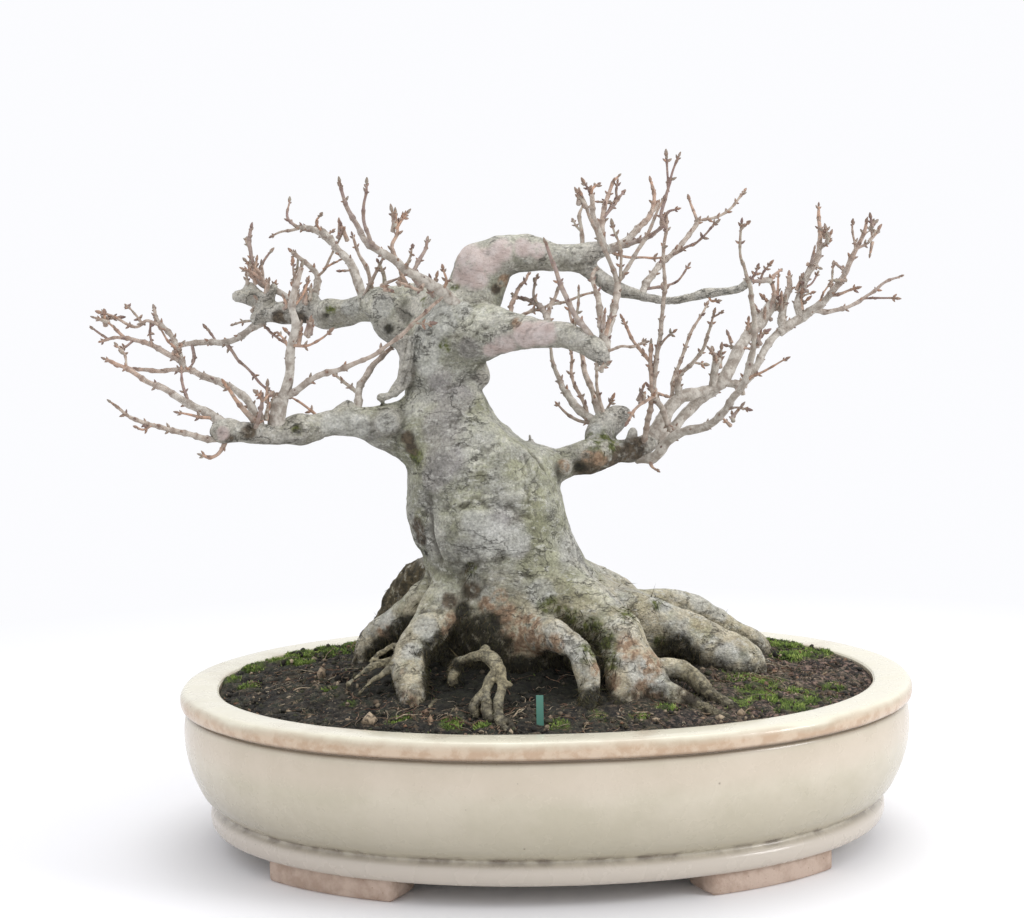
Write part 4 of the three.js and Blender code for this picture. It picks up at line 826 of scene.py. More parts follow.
EYES = [
    # radius of the ring, height of its lip, depth of its pit, then its place
    (3.8, 0.9, 0.5, (-55.5, -14.5, 156)),
    (3.3, 0.9, 1.8, (-87, -24.5, 154.5)),
    (2.2, 0.7, 2.6, (-80, 25, 193)),
    (2.4, 0.5, 0.9, (-112.5, -35, 155.5)),
    (3.6, 0.3, 0.2, (-22, -26.5, 137)),
    (1.8, 0.6, 0.7, (9, -5.5, 136.7)),
    (2, 0.5, 0.6, (-22, -8, 173)),
    (2.6, 0.6, 0.8, (-103, -28, 156)),
]
print(len(CREASES), "creases and", len(EYES), "eyes")

# %% [markdown]
# Low on the tree the relief runs downwards into the roots, the middle of the trunk is wrinkled across,
# and the stump at the back is the roughest. Folds lie where a noise passes through 0.

# %% The relief
x, y, z = skin.T
low_down = fade(z, 112, 78)
thickness = np.clip(skin_girth, 1.5, 16)
push = 0.06 * thickness * layered_noise(skin, 17, seed=1)
wrinkled = fade(np.abs(z - 129), 7, 3) * fade(y, 0, -12)
push += 0.9 * wrinkled * layered_noise(skin * [0.3, 0.6, 1.5], 4, seed=15)
push += 0.045 * np.clip(thickness, 3, 12) * layered_noise(skin, 6, seed=2)
push += 1.2 * low_down * layered_noise(skin * [1, 1, 0.3], 8, seed=4)
push += 0.5 * low_down * layered_noise(skin, 5, seed=16)
push += 0.2 * noise(skin, 2.4, seed=6)
creased = np.zeros(len(skin))
for width, depth, path in CREASES:
    away = segment_distance(skin + 0.9 * noise(skin, 4, seed=8)[:, None], np.array(path, float))
    groove = np.exp(-((away / width) ** 2))
    push -= depth * groove
    creased = np.maximum(creased, groove)
for radius, lip, pit, place in EYES:
    away = np.linalg.norm(skin - place, axis=1) / radius
    hole = np.exp(-((away / 0.6) ** 2))
    push += lip * np.exp(-(((away - 1) / 0.3) ** 2)) - pit * hole
    push += 0.2 * np.cos(9 * away) * fade(away, 2.2, 1.2)
    creased = np.maximum(creased, min(1, 0.8 * pit) * hole)
fold = np.abs(layered_noise(skin * [1, 1, 1.9], 8, seed=9))
folds = fade(fold, 0.09, 0.0) * fade(layered_noise(skin, 18, seed=12), -0.15, 0.35)
push -= 0.4 * folds * fade(thickness, 2, 6)
stump = fade(y, 8, 16) * fade(x, -34, -42) * fade(z, 104, 98)
push += stump * 1.7 * layered_noise(skin * [1, 1, 0.35], 3, 3, seed=14)
skin = skin + normal * push[:, None]
normal = point_normals(skin, skin_faces)
print("relief from", round(push.min(), 2), "to", round(push.max(), 2), "mm")

# %% [markdown]
# ### Where the bark changes
#
# Old bark is grey with a green bloom. Hollows are mossy and darkened by painted shade, as is the wood just
# above the soil, healed cuts are pink and smooth, roots are tan where soil lay on them, and painted light
# brightens the ridges and the skin that faces up. Each of these is a mask, from how hollow the skin is at a
# point, how high it is, and from listed patches.

# %% Soil height, hollows and patches
SOIL_EDGE_Z, SOIL_MOUND, SOIL_INSET = 56, 12, 14


def from_middle(x, y):
    """How far out on the soil a place is: 0 in the middle, 1 at the pot's wall."""
    return np.hypot(x / (POT_HALF_LENGTH - SOIL_INSET), y / (POT_HALF_WIDTH - SOIL_INSET))


def soil_height(x, y):
    """The soil's mound: highest under the trunk and level at the rim, with slow bumps."""
    out = from_middle(x, y)
    bumps = np.sin(x / 6.1 + 1.3) * np.cos(y / 5.3) + 0.6 * np.sin(x / 2.9 - y / 3.7)
    mound = SOIL_MOUND * np.clip(1 - out * out, 0, 1) ** 1.5
    return SOIL_EDGE_Z + mound + 0.5 * bumps * np.clip(8 * (1 - out), 0, 1)


def hollowness(points, faces, rounds):
    """How far a point lies below the mean of the skin round it, in millimetres."""
    smooth = points
    for _ in range(rounds):
        smooth = neighbour_mean(smooth, faces)
    return ((smooth - points) * point_normals(points, faces)).sum(axis=1)


def patch_mask(patches, points, ragged=0.35, seed=20):
    """1 in the middle of each patch (x, y, z, radius), 0 beyond it, with a ragged edge."""
    edge = ragged * layered_noise(points, 5, 3, seed)
    best = np.zeros(len(points))
    for x, y, z, radius in patches:
        away = np.linalg.norm((points - [x, y, z]) * [1, 0.5, 1], axis=1) / radius
        best = np.maximum(best, fade(away + edge, 1.5, 0.9))
    return best


above_soil = skin[:, 2] - soil_height(skin[:, 0], skin[:, 1])
print("skin from", round(above_soil.min(), 1), "to", round(above_soil.max(), 1), "mm above the soil")

# %% Patches of the bark
PATCHES = {
    # x, y, z, radius
    "scar": [(-24, -5, 214, 5), (-19, -7, 213, 5), (-22, -5, 208, 4), (-13, -5, 217, 3.5),
     (-28, -4, 209, 3.5), (-5, -5, 218, 3), (0, -4, 217, 2.5), (-12, -21, 184, 3.5), (-5, -28, 187, 4),
     (1, -32, 188, 4), (-17, -19, 181, 3), (-112, -35, 155, 2)],
    "rust": [(-10, -30, 79, 5.5), (-4, -38, 77, 5.5), (-7, -33, 84, 4.5), (-14, -29, 88, 3.5),
     (3, -46, 80, 3), (-14, -29, 74, 3), (-34, -25, 85, 3), (-36, -27, 82, 2), (-21, -27, 91, 2.5),
     (-16, -27, 94, 2.5), (22, -55, 68, 3), (21, -58, 62, 2.5), (32, -57, 61, 3), (28, -51, 79, 4),
     (36, -50, 73, 4), (33, -56, 64, 4), (17, -57, 73, 2), (8, -5, 138, 2), (17, -1, 141, 2),
     (22, 0, 140, 2.5), (-8, -24, 191, 2), (-6, -28, 189, 1.5), (-20, -6, 210, 1.5), (-12, -1, 206, 2),
     (-50, -42, 70, 1.5), (-48, -52, 63, 2.5), (-59, 0, 76, 3), (38, -55, 61, 3)],
    "moss": [(6, -30, 88, 3), (10, -34, 87, 3), (16, -37, 82, 4.5), (19, -45, 79, 5), (14, -56, 78, 3),
     (22, -51, 75, 3), (25, 5, 146, 4), (19, 5, 146, 3), (1, -29, 91, 3), (-41, 1, 199, 2),
     (-30, -3, 205, 2), (-34, -13, 183, 2), (-26, -26, 104, 2), (-87, -24, 155, 1.5), (-78, 24, 196, 2),
     (42, -10, 73, 2), (-45, -13, 143, 2.5), (29, -39, 89, 3), (41, -6, 87, 2.5)],
    # painted shade where the wood lies in shade
    "dark": [(-24, -26, 80, 6), (-31, -19, 75, 6), (-35, -16, 69, 6), (-18, -28, 75, 5.5),
     (-10, -27, 66, 6), (-1, -28, 66, 6), (7, -26, 67, 6), (-26, -20, 65, 7), (-15, -24, 64, 7),
     (-20, -28, 84, 4), (-29, -23, 88, 3), (-38, -14, 72, 5), (-53, -6, 82, 2), (-50, -8, 80, 4),
     (-54, -2, 76, 4), (-60, 2, 71, 3.5), (-41, -32, 76, 3), (-41, -34, 70, 3), (-44, -42, 64, 3),
     (49, -13, 72, 4), (53, -14, 68, 3.5), (13, -65, 62, 2.5), (14, 0, 137, 1.5), (-55, 4, 189, 1.6),
     (-43, -13, 108, 1.2), (-31, -39, 72, 2.5), (-26, -44, 75, 1.5), (-39, -33, 73, 4), (-41, -40, 66, 4),
     (-39, -28, 80, 2.5), (14, -64, 63, 3.5), (16, -60, 66, 2), (21, -58, 60, 4), (26, -61, 58, 3.5),
     (-57, -6, 74, 2.5), (-64, 2, 67, 3), (8, -46, 74, 2.5), (2, -38, 74, 3), (20, -38, 68, 4),
     (17, -36, 74, 3)],
    # pale bark, partly painted highlights
    "pale_bark_and_highlight": [(-57, 5, 197, 3.5), (-36, -11, 193, 5.5), (-40, -9, 184, 5.5), (-41, -8, 177, 4),
     (-70, 24, 197, 3), (-19, -29, 117, 5.5), (-10, -28, 114, 5), (-25, -30, 121, 3.5), (-59, 1, 81, 3.5),
     (-43, -30, 84, 3.5), (10, -54, 79, 3.5), (8, -52, 80, 3), (32, -54, 71, 4), (38, -56, 65, 3),
     (66, -19, 70, 3.5), (60, 24, 82, 3.5), (68, 25, 78, 3.5), (-68, -13, 154, 5), (-56, -14, 156, 3.5),
     (-75, -17, 156, 3.5), (21, 9, 150, 2), (43, -5, 87, 3.5), (-27, -13, 196, 3), (-1, -27, 95, 4),
     (-48, -37, 77, 2.5)],
    "lilac": [(-36, -18, 154, 6.5), (-35, -23, 143, 6.5), (-39, -20, 136, 4), (-31, -14, 164, 5.5),
     (-36, -11, 170, 4), (-14, -28, 119, 5), (-9, -27, 112, 4), (29, -54, 73, 4), (33, -52, 77, 3),
     (-57, 6, 199, 3), (-25, -16, 182, 3.5), (69, -18, 73, 3)],
    "olive": [(-5, -24, 117, 6.5), (-2, -24, 106, 6.5), (2, -27, 95, 5.5), (-9, -23, 139, 3.5),
     (-3, -21, 128, 4), (-45, -14, 142, 3), (-44, -15, 121, 3), (-22, -26, 138, 3), (9, -31, 93, 6.5),
     (19, -37, 90, 5), (36, -8, 88, 4), (-20, -10, 162, 3), (-86, -23, 158, 2), (-76, 29, 189, 2),
     (-79, 27, 199, 3), (14, 4, 145, 2), (57, -14, 78, 3.5), (75, 28, 73, 3.5)],
    "brown": [(-48, -13, 150, 2.5), (-47, -13, 146, 2.5), (-45, -10, 118, 2.5), (-44, -12, 113, 2),
     (18, 1, 136, 5), (22, 1, 138, 5), (28, 5, 139, 5), (35, 7, 143, 4), (-103, -30, 155, 2.2),
     (-110, -34, 153, 1.5), (-91, 38, 191, 3.5), (-99, 41, 192, 3), (-15, -5, 203, 1.8), (-26, -24, 96, 3),
     (-34, -25, 92, 2.5), (2, -32, 189, 1.5), (49, -57, 64, 3), (-16, -28, 87, 3), (-53, 3, 75, 3.5),
     (-58, 2, 74, 3)],
}
print(sum(map(len, PATCHES.values())), "patches")

# %% Masks of the wood
masks = {name: patch_mask(patches, skin, seed=20 + n)
         for n, (name, patches) in enumerate(PATCHES.items())}
close_hollow, wide_hollow = hollowness(skin, skin_faces, 4), hollowness(skin, skin_faces, 30)
ragged = 3 * layered_noise(skin, 7, 3, seed=31)
# Painted shade: hollows, creases and folds are darkened.
masks["hollow_shade"] = np.clip(0.9 * fade(close_hollow, 0.03, 0.3) + fade(wide_hollow, 0.3, 1.8)
                               + creased + 0.6 * folds, 0, 1)
# Painted light and shade: skin that faces up is lighter, skin that faces down darker.
masks["upper"] = fade(normal[:, 2], -0.5, 0.7)
# Painted highlight on the ridges.
masks["ridge"] = np.clip(fade(close_hollow, -0.02, -0.3) + fade(wide_hollow, -0.2, -1.6), 0, 1)
# Painted shade on the wood just above the soil.
masks["base_shade"] = fade(above_soil + ragged, 9, 1)
masks["rooty"] = fade(above_soil + 2 * ragged, 42, 12)
masks["stump"] = stump
masks["slim_root"] = fade(skin_girth, 3.6, 2.4) * fade(skin[:, 2], 100, 90)
masks["thin"] = fade(skin_girth, 8, 3) * fade(skin[:, 2], 110, 120)
wood = add_piece("wood", skin, [skin_faces], masks, replaces=["tree"])

# %% [markdown]
# ## The twigs
#
# Maple buds stand in pairs, each pair turned a quarter from the last, at nodes that are a little swollen.
# So a twig is a thin tube along its path, thicker at each node, and its buds are small pointed drops, all
# copied from one drop by array arithmetic.

# %% Tubes
# A direction that no twig follows, from which the sides of tubes and buds are worked out
ASKEW = [0.31, 0.95, 0.04]


def tube(path, sides, swell=None):
    """A circle of the path's radius at each of its points, square to the path, closed at both ends."""
    along = unit(np.gradient(path[:, :3], axis=0))
    side = unit(np.cross(along, ASKEW))
    front = np.cross(side, along)
    turn = circle(sides)[None, :, None]
    radius = path[:, 3] * (1 if swell is None else swell)
    rings = path[:, None, :3] + radius[:, None, None] * (
        np.cos(turn) * front[:, None] + np.sin(turn) * -side[:, None])
    caps = path[[0, -1], :3] + [[-0.5], [0.5]] * radius[[0, -1], None] * along[[0, -1]]
    points = np.vstack([rings.reshape(-1, 3), caps])
    quads, *ends = closed_faces(len(path), sides)
    return points, quads, np.vstack(ends)


def join(parts):
    """One set of points and faces from many, each part's faces counted on from the last part's points."""
    starts = np.cumsum([0] + [len(part[0]) for part in parts[:-1]])
    points = np.vstack([part[0] for part in parts])
    return points, *(np.vstack([part[k] + start for part, start in zip(parts, starts)]) for k in (1, 2))


def drop(length, width, sides=5):
    """A bud: rings whose radius grows and then closes to a point, along +Z."""
    height = np.array([0.0, 0.3, 0.65, 0.9])
    radius = np.array([0.55, 1.0, 0.7, 0.25])
    path = np.column_stack([0 * height, 0 * height, height * length, radius * width])
    return tube(path, sides)


bud_points, bud_quads, bud_ends = drop(2.1, 0.52)
print("a bud has", len(bud_quads) * 2 + len(bud_ends), "triangles")

# %% [markdown]
# Each twig of the list becomes a smooth path that wanders a little. Short spurs stand in clusters where
# the tree was pruned again and again.

# %% Paths of the twigs
draws = np.random.default_rng(3)
THIN_TIP = 0.35
SPURS = [
    # where short spurs stand close together
    (-111, 50, 206), (-108, 50, 209), (-104, 47, 203), (-110, 50, 198), (-106, 48, 197), (-86.5, 33, 200.5),
    (-90.5, 35, 200), (-88, -5, 186), (-85, -8, 189), (-96.5, -20, 165), (-99, -25, 161), (-95, 38, 197),
    (-50.5, 2, 206.5), (-44, -2, 204.5), (-56, 2, 205), (-38, -2, 203), (22, -39, 192), (20.5, -42, 177),
    (42, 10, 161.5), (76, 15, 164), (37.5, 12, 160), (73, 14, 152), (86, 36, 189), (82, 34, 185),
    (101, 38, 193), (94, 36, 191), (107, 44, 209), (112, 43, 217), (128, 33, 222), (126, 30, 217),
    (67, 21, 172), (67, 20, 175), (76, -23, 183), (90, 37, 193), (77, 31, 178), (28, 4, 232), (16, -33, 234),
    (102, 40, 200), (116, 29, 205), (-161, 19, 194), (-132, -2, 182), (-110, 53, 211), (-74, 40, 224),
    (-50, -10, 227),
]


def along_path(path):
    """How far along its path each point is."""
    return np.concatenate([[0], np.cumsum(np.linalg.norm(np.diff(path[:, :3], axis=0), axis=1))])


def twig_path(foot_radius, *rest):
    """A twig's path as (x, y, z, radius), made smooth, and then wandering a little to each side."""
    tip_radius, foot_y, tip_y, *xz = rest if len(rest) % 2 else (THIN_TIP, *rest)
    share = np.linspace(0, 1, len(xz) // 2)
    path = np.column_stack([xz[::2], foot_y + share * (tip_y - foot_y), xz[1::2],
                            foot_radius + share * (tip_radius - foot_radius)])
    path = smooth_path(path, 0.9)
    wander = np.stack([noise(path[:, :3], 6, seed=40 + k) for k in range(3)], axis=-1)
    path[:, :3] += 0.55 * wander * np.clip(along_path(path) / 4, 0, 1)[:, None]
    return path


def spur_path(foot):
    """A short spur that points up more than sideways."""
    way = draws.normal(0, 0.6, 3) + [0, 0, 1]
    end = foot + draws.uniform(2.5, 5) * unit(way)
    return smooth_path([(*(foot - 0.8 * way), 0.9), (*foot, 0.8), (*end, 0.5)], 0.9)


paths = [twig_path(*twig) for twig in TWIGS]
paths += [spur_path(np.array(foot) + draws.normal(0, 1.1, 3)) for foot in SPURS for _ in range(3)]
print(len(paths), "twigs and spurs")

# %% [markdown]
# Along each path the nodes come at uneven steps. Most have a pair of buds, and the tip has three. Where
# the buds stand is only noted here.

# %% Twigs
twig_parts, twig_young, twig_hue, twig_node, bud_places = [], [], [], [], []
for path in paths:
    length = along_path(path)
    nodes = np.arange(draws.uniform(3, 6), length[-1] - 1.2, draws.uniform(4.5, 8.5))
    from_node = np.abs(length[:, None] - nodes[None, :]).min(axis=1) if len(nodes) else 0 * length + 9
    knuckle = np.exp(-((from_node / 0.7) ** 2))
    swell = 1 + (0.05 + 0.33 * fade(path[:, 3], 2.0, 0.8)) * knuckle
    swell *= 1 + 0.12 * noise(path[:, :3], 1.9, seed=44) + 0.08 * noise(path[:, :3], 5, seed=45)
    sides = 8 if path[0, 3] > 1.6 else 6
    twig_parts.append(tube(path, sides, swell))
    young = 1 - np.clip(path[:, 3] / 1.5, 0, 1)
    twig_young.append(np.append(np.repeat(young, sides), young[[0, -1]]))
    twig_hue.append(np.full(len(path) * sides + 2, draws.random()))
    ring = knuckle * (0.2 + 0.8 * fade(path[:, 3], 1.8, 0.9))
    twig_node.append(np.append(np.repeat(ring, sides), [0, 0.6]))
    direction = unit(np.gradient(path[:, :3], axis=0))
    quarter = draws.uniform(0, np.pi)
    for number, at in enumerate(nodes):
        row = min(int(np.searchsorted(length, at)), len(path) - 1)
        if draws.random() < 0.2 or path[row, 3] > 2.2:
            continue
        for half in (0, np.pi):
            spin = quarter + number * np.pi / 2 + half
            bud_places.append((*path[row, :3], *direction[row], path[row, 3], spin, 0.9,
                               draws.uniform(0.7, 1.2)))
    bud_places.append((*path[-1, :3], *direction[-1], path[-1, 3], 0.0, 0.0, draws.uniform(1.0, 1.6)))
    for half in (0, np.pi):
        bud_places.append((*path[-2, :3], *direction[-2], path[-2, 3], quarter + half, 0.6,
                           draws.uniform(0.6, 1.0)))
twig_points, twig_quads, twig_ends = join(twig_parts)
twigs = add_piece("twigs", twig_points, [twig_quads, twig_ends], {
    "young": np.concatenate(twig_young), "hue": np.concatenate(twig_hue), "node": np.concatenate(twig_node)})
print(len(bud_places), "buds")

# %% [markdown]
# A bud beside a twig leans out by about half a right angle and grows forward; the bud at the tip
# points straight on.

# %% Buds
places = np.array(bud_places)
centre, ahead = places[:, :3], places[:, 3:6]
twig_radius, spin, lean, size = places[:, 6:].T
side = unit(np.cross(ahead, ASKEW))
other = np.cross(side, ahead)
outward = np.cos(spin)[:, None] * side + np.sin(spin)[:, None] * other
axis = np.cos(lean)[:, None] * ahead + np.sin(lean)[:, None] * outward
across = unit(np.cross(axis, ahead + 0.01 * side))
third = np.cross(axis, across)
root = centre + outward * (0.55 * twig_radius * (lean > 0))[:, None]
local = bud_points[None] * size[:, None, None]
all_buds = (root[:, None] + local[..., 0:1] * across[:, None] + local[..., 1:2] * third[:, None]
            + local[..., 2:3] * axis[:, None])
shift = (np.arange(len(places)) * len(bud_points))[:, None, None]
tip = np.tile(bud_points[:, 2] / bud_points[:, 2].max(), len(places))
buds = add_piece("buds", all_buds.reshape(-1, 3),
                 [(bud_quads[None] + shift).reshape(-1, 4), (bud_ends[None] + shift).reshape(-1, 3)],
                 {"young": np.ones(len(tip)), "hue": np.repeat(draws.random(len(places)), len(bud_points)),
                  "node": 0.4 + 0.6 * tip})

# %% [markdown]
# ## The soil
#
# The soil is a mix of small dark grains, on the same mound as the part's own. A polar grid is pushed up
# into grains: around each of many scattered centres the height is that of a small ball. Loose grains,
# moss and rootlets then lie on it as pieces of their own.

# %% Grains and moss of the soil
def grains(x, y, size, layer):
    """Distance to the nearest grain's centre over the grain size, and that grain's own random value.
    There is one centre in each square of that size, at a random place in it."""
    best, tag = np.full(x.shape, 9.0), np.zeros(x.shape)
    for step_x, step_y in product((-1, 0, 1), repeat=2):
        i, j = np.floor(x / size).astype(int) + step_x, np.floor(y / size).astype(int) + step_y
        a, b, c = (LATTICE[i % 64, j % 64, 3 * layer + k] for k in range(3))
        away = np.hypot(x - (i + a) * size, y - (j + b) * size) / size
        closer = away < best
        best, tag = np.where(closer, away, best), np.where(closer, c, tag)
    return best, tag


MOSS_BEDS = [
    # x, y, radius
    (92, 62, 12), (98, 48, 10), (102, 32, 9), (94, 20, 8), (74, -26, 9), (77, -40, 11), (85, -50, 9),
    (92, -38, 10), (70, -12, 6), (103, -25, 5), (66, -54, 6), (82, 74, 12), (62, 82, 10), (-119, 8, 5),
    (-112, 26, 7), (-103, 38, 7), (-97, 50, 8), (-87, 62, 9), (-77, 70, 8), (-68, 76, 8), (-95, 30, 6),
    (-82, 48, 7), (-110, -5, 4), (-49, -64, 4), (-32, -73, 4), (4, -76, 4), (18, -70, 4), (31, -70, 4),
    (41, -62, 4), (-23, -75, 3), (-78, -25, 3), (-69, -45, 3), (-40, 84, 9), (10, 86, 10), (-10, 80, 8),
]


def moss_amount(x, y):
    """How mossy the soil is: 1 in a moss bed and 0 well outside, with a ragged edge."""
    flat = np.stack([x, y, 0 * x], axis=-1)
    edge = 1.1 * layered_noise(flat, 6, 3, seed=50)
    best = np.zeros(len(x))
    for bed_x, bed_y, radius in MOSS_BEDS:
        best = np.maximum(best, fade(np.hypot(x - bed_x, y - bed_y) / radius + edge, 1.2, 0.5))
    return best


def ground_height(x, y):
    """The soil with its moss: cushions in the moss beds, highest at the back."""
    back = fade(y, -40, 30)
    cushions = moss_amount(x, y) * (0.8 + 1.2 * back)
    return soil_height(x, y) + cushions + 1.6 * back * fade(from_middle(x, y), 0.7, 0.97)


print(len(MOSS_BEDS), "beds of moss")

# %% Soil surface
rings, columns, gap = 100, 460, 0.35
angle = circle(columns)
edge = oval(SOIL_INSET + gap, angle, SOIL_EDGE_Z)
walls = [oval(inset + gap, angle, z + gap) for inset, z in POT_INSIDE[:1:-1]]
share = np.linspace(1, 0.03, rings)[:, None, None] ** 0.85
top = (edge[None] * share).reshape(-1, 3)
x, y = top[:, 0], top[:, 1]
coarse, coarse_tag = grains(x, y, 3.6, 0)
fine, _ = grains(x, y, 2.1, 3)
mossy = moss_amount(x, y)
inner = fade(share.repeat(columns, axis=1).ravel(), 1.0, 0.985)
bumpy = 1.1 * np.sqrt(np.clip(1 - (coarse / 0.75) ** 2, 0, 1)) * (coarse_tag > 0.35)
bumpy += 0.6 * np.sqrt(np.clip(1 - (fine / 0.8) ** 2, 0, 1))
bumpy = bumpy * (1 - 0.7 * mossy) + mossy * 0.8 * noise(top, 4, seed=52)
top[:, 2] = ground_height(x, y) + inner * (bumpy - 0.5 + 0.7 * layered_noise(top, 12, seed=51))
soil_points = np.vstack([*walls, top, [[0, 0, walls[0][0, 2]], [0, 0, soil_height(0, 0)]]])
plain = np.zeros(len(walls) * columns)
# Painted shade on the soil round the tree's foot.
base_shade = fade(np.hypot((top[:, 0] + 8) / 64, (top[:, 1] + 22) / 42), 1.15, 0.75)
# Painted shade in the gaps between grains, where the soil is pushed up least.
top_masks = {"base_shade": base_shade, "mossy": mossy, "tag": coarse_tag, "hollow_shade": fade(bumpy, 0.7, 0.1)}
soil_masks = {name: np.concatenate([plain, values, [0, 0]]) for name, values in top_masks.items()}
soil = add_piece("soil_surface", soil_points, closed_faces(len(walls) + rings, columns), soil_masks,
                 replaces=["soil"])

# %% [markdown]
# Moss is a felt of short green shoots. Each shoot is a thin three-sided spike, so that tens of thousands
# of them stay light.

# %% Spikes and where they stand
def spikes(roots, directions, lengths, widths):
    """A three-sided spike at each root: three base points round it and one tip."""
    directions = unit(directions)
    side = unit(np.cross(directions, [0.93, 0.13, 0.35]))
    other = np.cross(directions, side)
    turn = np.array([0, 2, 4]) * np.pi / 3
    base = (np.cos(turn)[None, :, None] * side[:, None] + np.sin(turn)[None, :, None] * other[:, None])
    base = roots[:, None] + widths[:, None, None] * base
    tips = (roots + lengths[:, None] * directions)[:, None]
    points = np.concatenate([base, tips], axis=1).reshape(-1, 3)
    one = np.array([[0, 1, 3], [1, 2, 3], [2, 0, 3], [2, 1, 0]])
    return points, (one[None] + 4 * np.arange(len(roots))[:, None, None]).reshape(-1, 3)


def spike_masks(tags):
    """Each spike's own tag at all four of its points, and tip, which is 1 at its tip alone."""
    return {"tag": np.repeat(tags, 4), "tip": np.tile([0.0, 0.0, 0.0, 1.0], len(tags))}


def reach(xy, inset):
    """How far out a place is: 0 in the middle, 1 on the oval that lies inset from the pot's rim."""
    return (np.abs(xy / [POT_HALF_LENGTH - inset, POT_HALF_WIDTH - inset]) ** OVAL_POWER).sum(axis=1)


def scatter(count, chance):
    """Random places on the soil, kept where chance(x, y) beats a random draw."""
    inset = SOIL_INSET + 2
    tries = draws.uniform(-1, 1, (count, 2)) * [POT_HALF_LENGTH - inset, POT_HALF_WIDTH - inset]
    keep = (reach(tries, inset) < 1) & (draws.random(count) < chance(tries[:, 0], tries[:, 1]))
    return tries[keep]


print("soil from", SOIL_EDGE_Z, "to", SOIL_EDGE_Z + SOIL_MOUND, "mm above the table")

# %% Moss on the soil
beds = scatter(230000, lambda x, y: moss_amount(x, y) * 0.95)
beds = np.vstack([beds, scatter(9000, lambda x, y: 0.14 + 0 * x)])
ground = ground_height(beds[:, 0], beds[:, 1]) - 0.5
shoots = len(beds)
leaning = draws.normal(0, 0.6, (shoots, 3)) + [0, 0, 1]
shoot_points, shoot_faces = spikes(np.column_stack([beds, ground]), leaning,
                                   draws.uniform(0.7, 2.0, shoots), draws.uniform(0.2, 0.42, shoots))
clump = noise(np.column_stack([beds, 0 * ground]), 3, seed=53)
shoot_tag = np.clip(0.48 + 0.45 * clump + draws.normal(0, 0.16, shoots), 0, 1)
moss = add_piece("moss", shoot_points, [shoot_faces], spike_masks(shoot_tag))

# %% [markdown]
# On the wood, moss and hair-fine roots hang from hollows, mossy patches, dark patches and the wood just
# above the soil. Each point of the skin has a chance to carry one, worked out from the masks, among them
# the masks of painted shade.

# %% Moss and hair roots on the wood
chance = 0.5 * masks["hollow_shade"] * masks["rooty"] + 0.5 * masks["moss"]
chance += 0.3 * masks["base_shade"] + 0.9 * masks["dark"] * masks["rooty"]
chance += 0.04 * masks["stump"]
chance *= 0.05 + 0.95 * fade(skin[:, 2], 112, 100)
on_wood = np.flatnonzero(draws.random(len(skin)) < chance * (skin[:, 2] > 55))
hairs = len(on_wood)
hair = normal[on_wood] * 0.6 + [0, 0, -0.7] + draws.normal(0, 0.35, (hairs, 3))
hair_length = draws.gamma(3, 0.7, hairs).clip(0.8, 5) * (1 + masks["moss"][on_wood])
hair_points, hair_faces = spikes(skin[on_wood] - 0.1 * normal[on_wood], hair, hair_length,
                                 draws.uniform(0.1, 0.2, hairs))
fuzz = add_piece("root_moss", hair_points, [hair_faces], spike_masks(draws.random(hairs)))

# %% [markdown]
# Bonsai soil is sifted, so its grains are much alike, with a few larger bits of gravel and bark. Each is
# a small lump of 16 triangles, stretched and turned at random and half sunk.

# %% Loose grains
GRAIN = np.array([[1, 0, 0], [0, 1, 0], [-1, 0, 0], [0, -1, 0], [0, 0, 1], [0, 0, -1],
                  [0.6, 0.6, 0.55], [-0.6, 0.6, 0.5], [-0.6, -0.6, 0.6], [0.6, -0.6, 0.5]])
GRAIN_FACES = np.array([face for k, n in ((0, 1), (1, 2), (2, 3), (3, 0))
                        for face in ((6 + k, k, n), (6 + k, n, 4), (n, 6 + n, 4), (k, 5, n))])
PEBBLES = np.array([
    # x, y, size, tag: the larger bits of gravel and bark that lie on the soil
    (-61, -65, 3.2, 0.93), (-83, -4, 3.4, 0.94), (-72, -40, 2.4, 0.5), (-92, -30, 2.2, 0.92),
    (58, -70, 2.6, 0.9), (66, -64, 2.0, 0.94), (0, -76, 2.3, 0.6), (36, -74, 2.2, 0.93),
    (-40, -70, 2.1, 0.97), (82, -44, 2.6, 0.55),
])
spots = np.vstack([PEBBLES[:, :2], scatter(18000, lambda x, y: 0.75 - 0.4 * moss_amount(x, y))])
count = len(spots)
shape = GRAIN[None] * draws.uniform(0.75, 1.25, (count, len(GRAIN), 1)) * draws.uniform(0.4, 1, (count, 1, 3))
turn = draws.uniform(0, 2 * np.pi, count)
cosine, sine = np.cos(turn)[:, None], np.sin(turn)[:, None]
size = draws.gamma(2.2, 0.27, count).clip(0.25, 1.7)
grain_tag = draws.random(count)
size[:len(PEBBLES)], grain_tag[:len(PEBBLES)] = PEBBLES[:, 2], PEBBLES[:, 3]
shape = shape * size[:, None, None]
turned = np.stack([cosine * shape[..., 0] - sine * shape[..., 1],
                   sine * shape[..., 0] + cosine * shape[..., 1], shape[..., 2]], axis=-1)
centres = np.column_stack([spots, ground_height(spots[:, 0], spots[:, 1]) + 0.35 * size])
grain_faces = (GRAIN_FACES[None] + len(GRAIN) * np.arange(count)[:, None, None]).reshape(-1, 3)
# Painted shade on the grains round the tree's foot.
grain_base_shade = fade(np.hypot((spots[:, 0] + 8) / 60, (spots[:, 1] + 26) / 42), 1.15, 0.8)
loose = add_piece("loose_grains", (turned + centres[:, None]).reshape(-1, 3), [grain_faces],
                  {"tag": np.repeat(grain_tag, len(GRAIN)), "base_shade": np.repeat(grain_base_shade, len(GRAIN))})

# %% [markdown]
# Feeder roots break off when a tree is repotted and lie on the soil as thin reddish and tan threads.

# %% Rootlets
STEP = 1.1


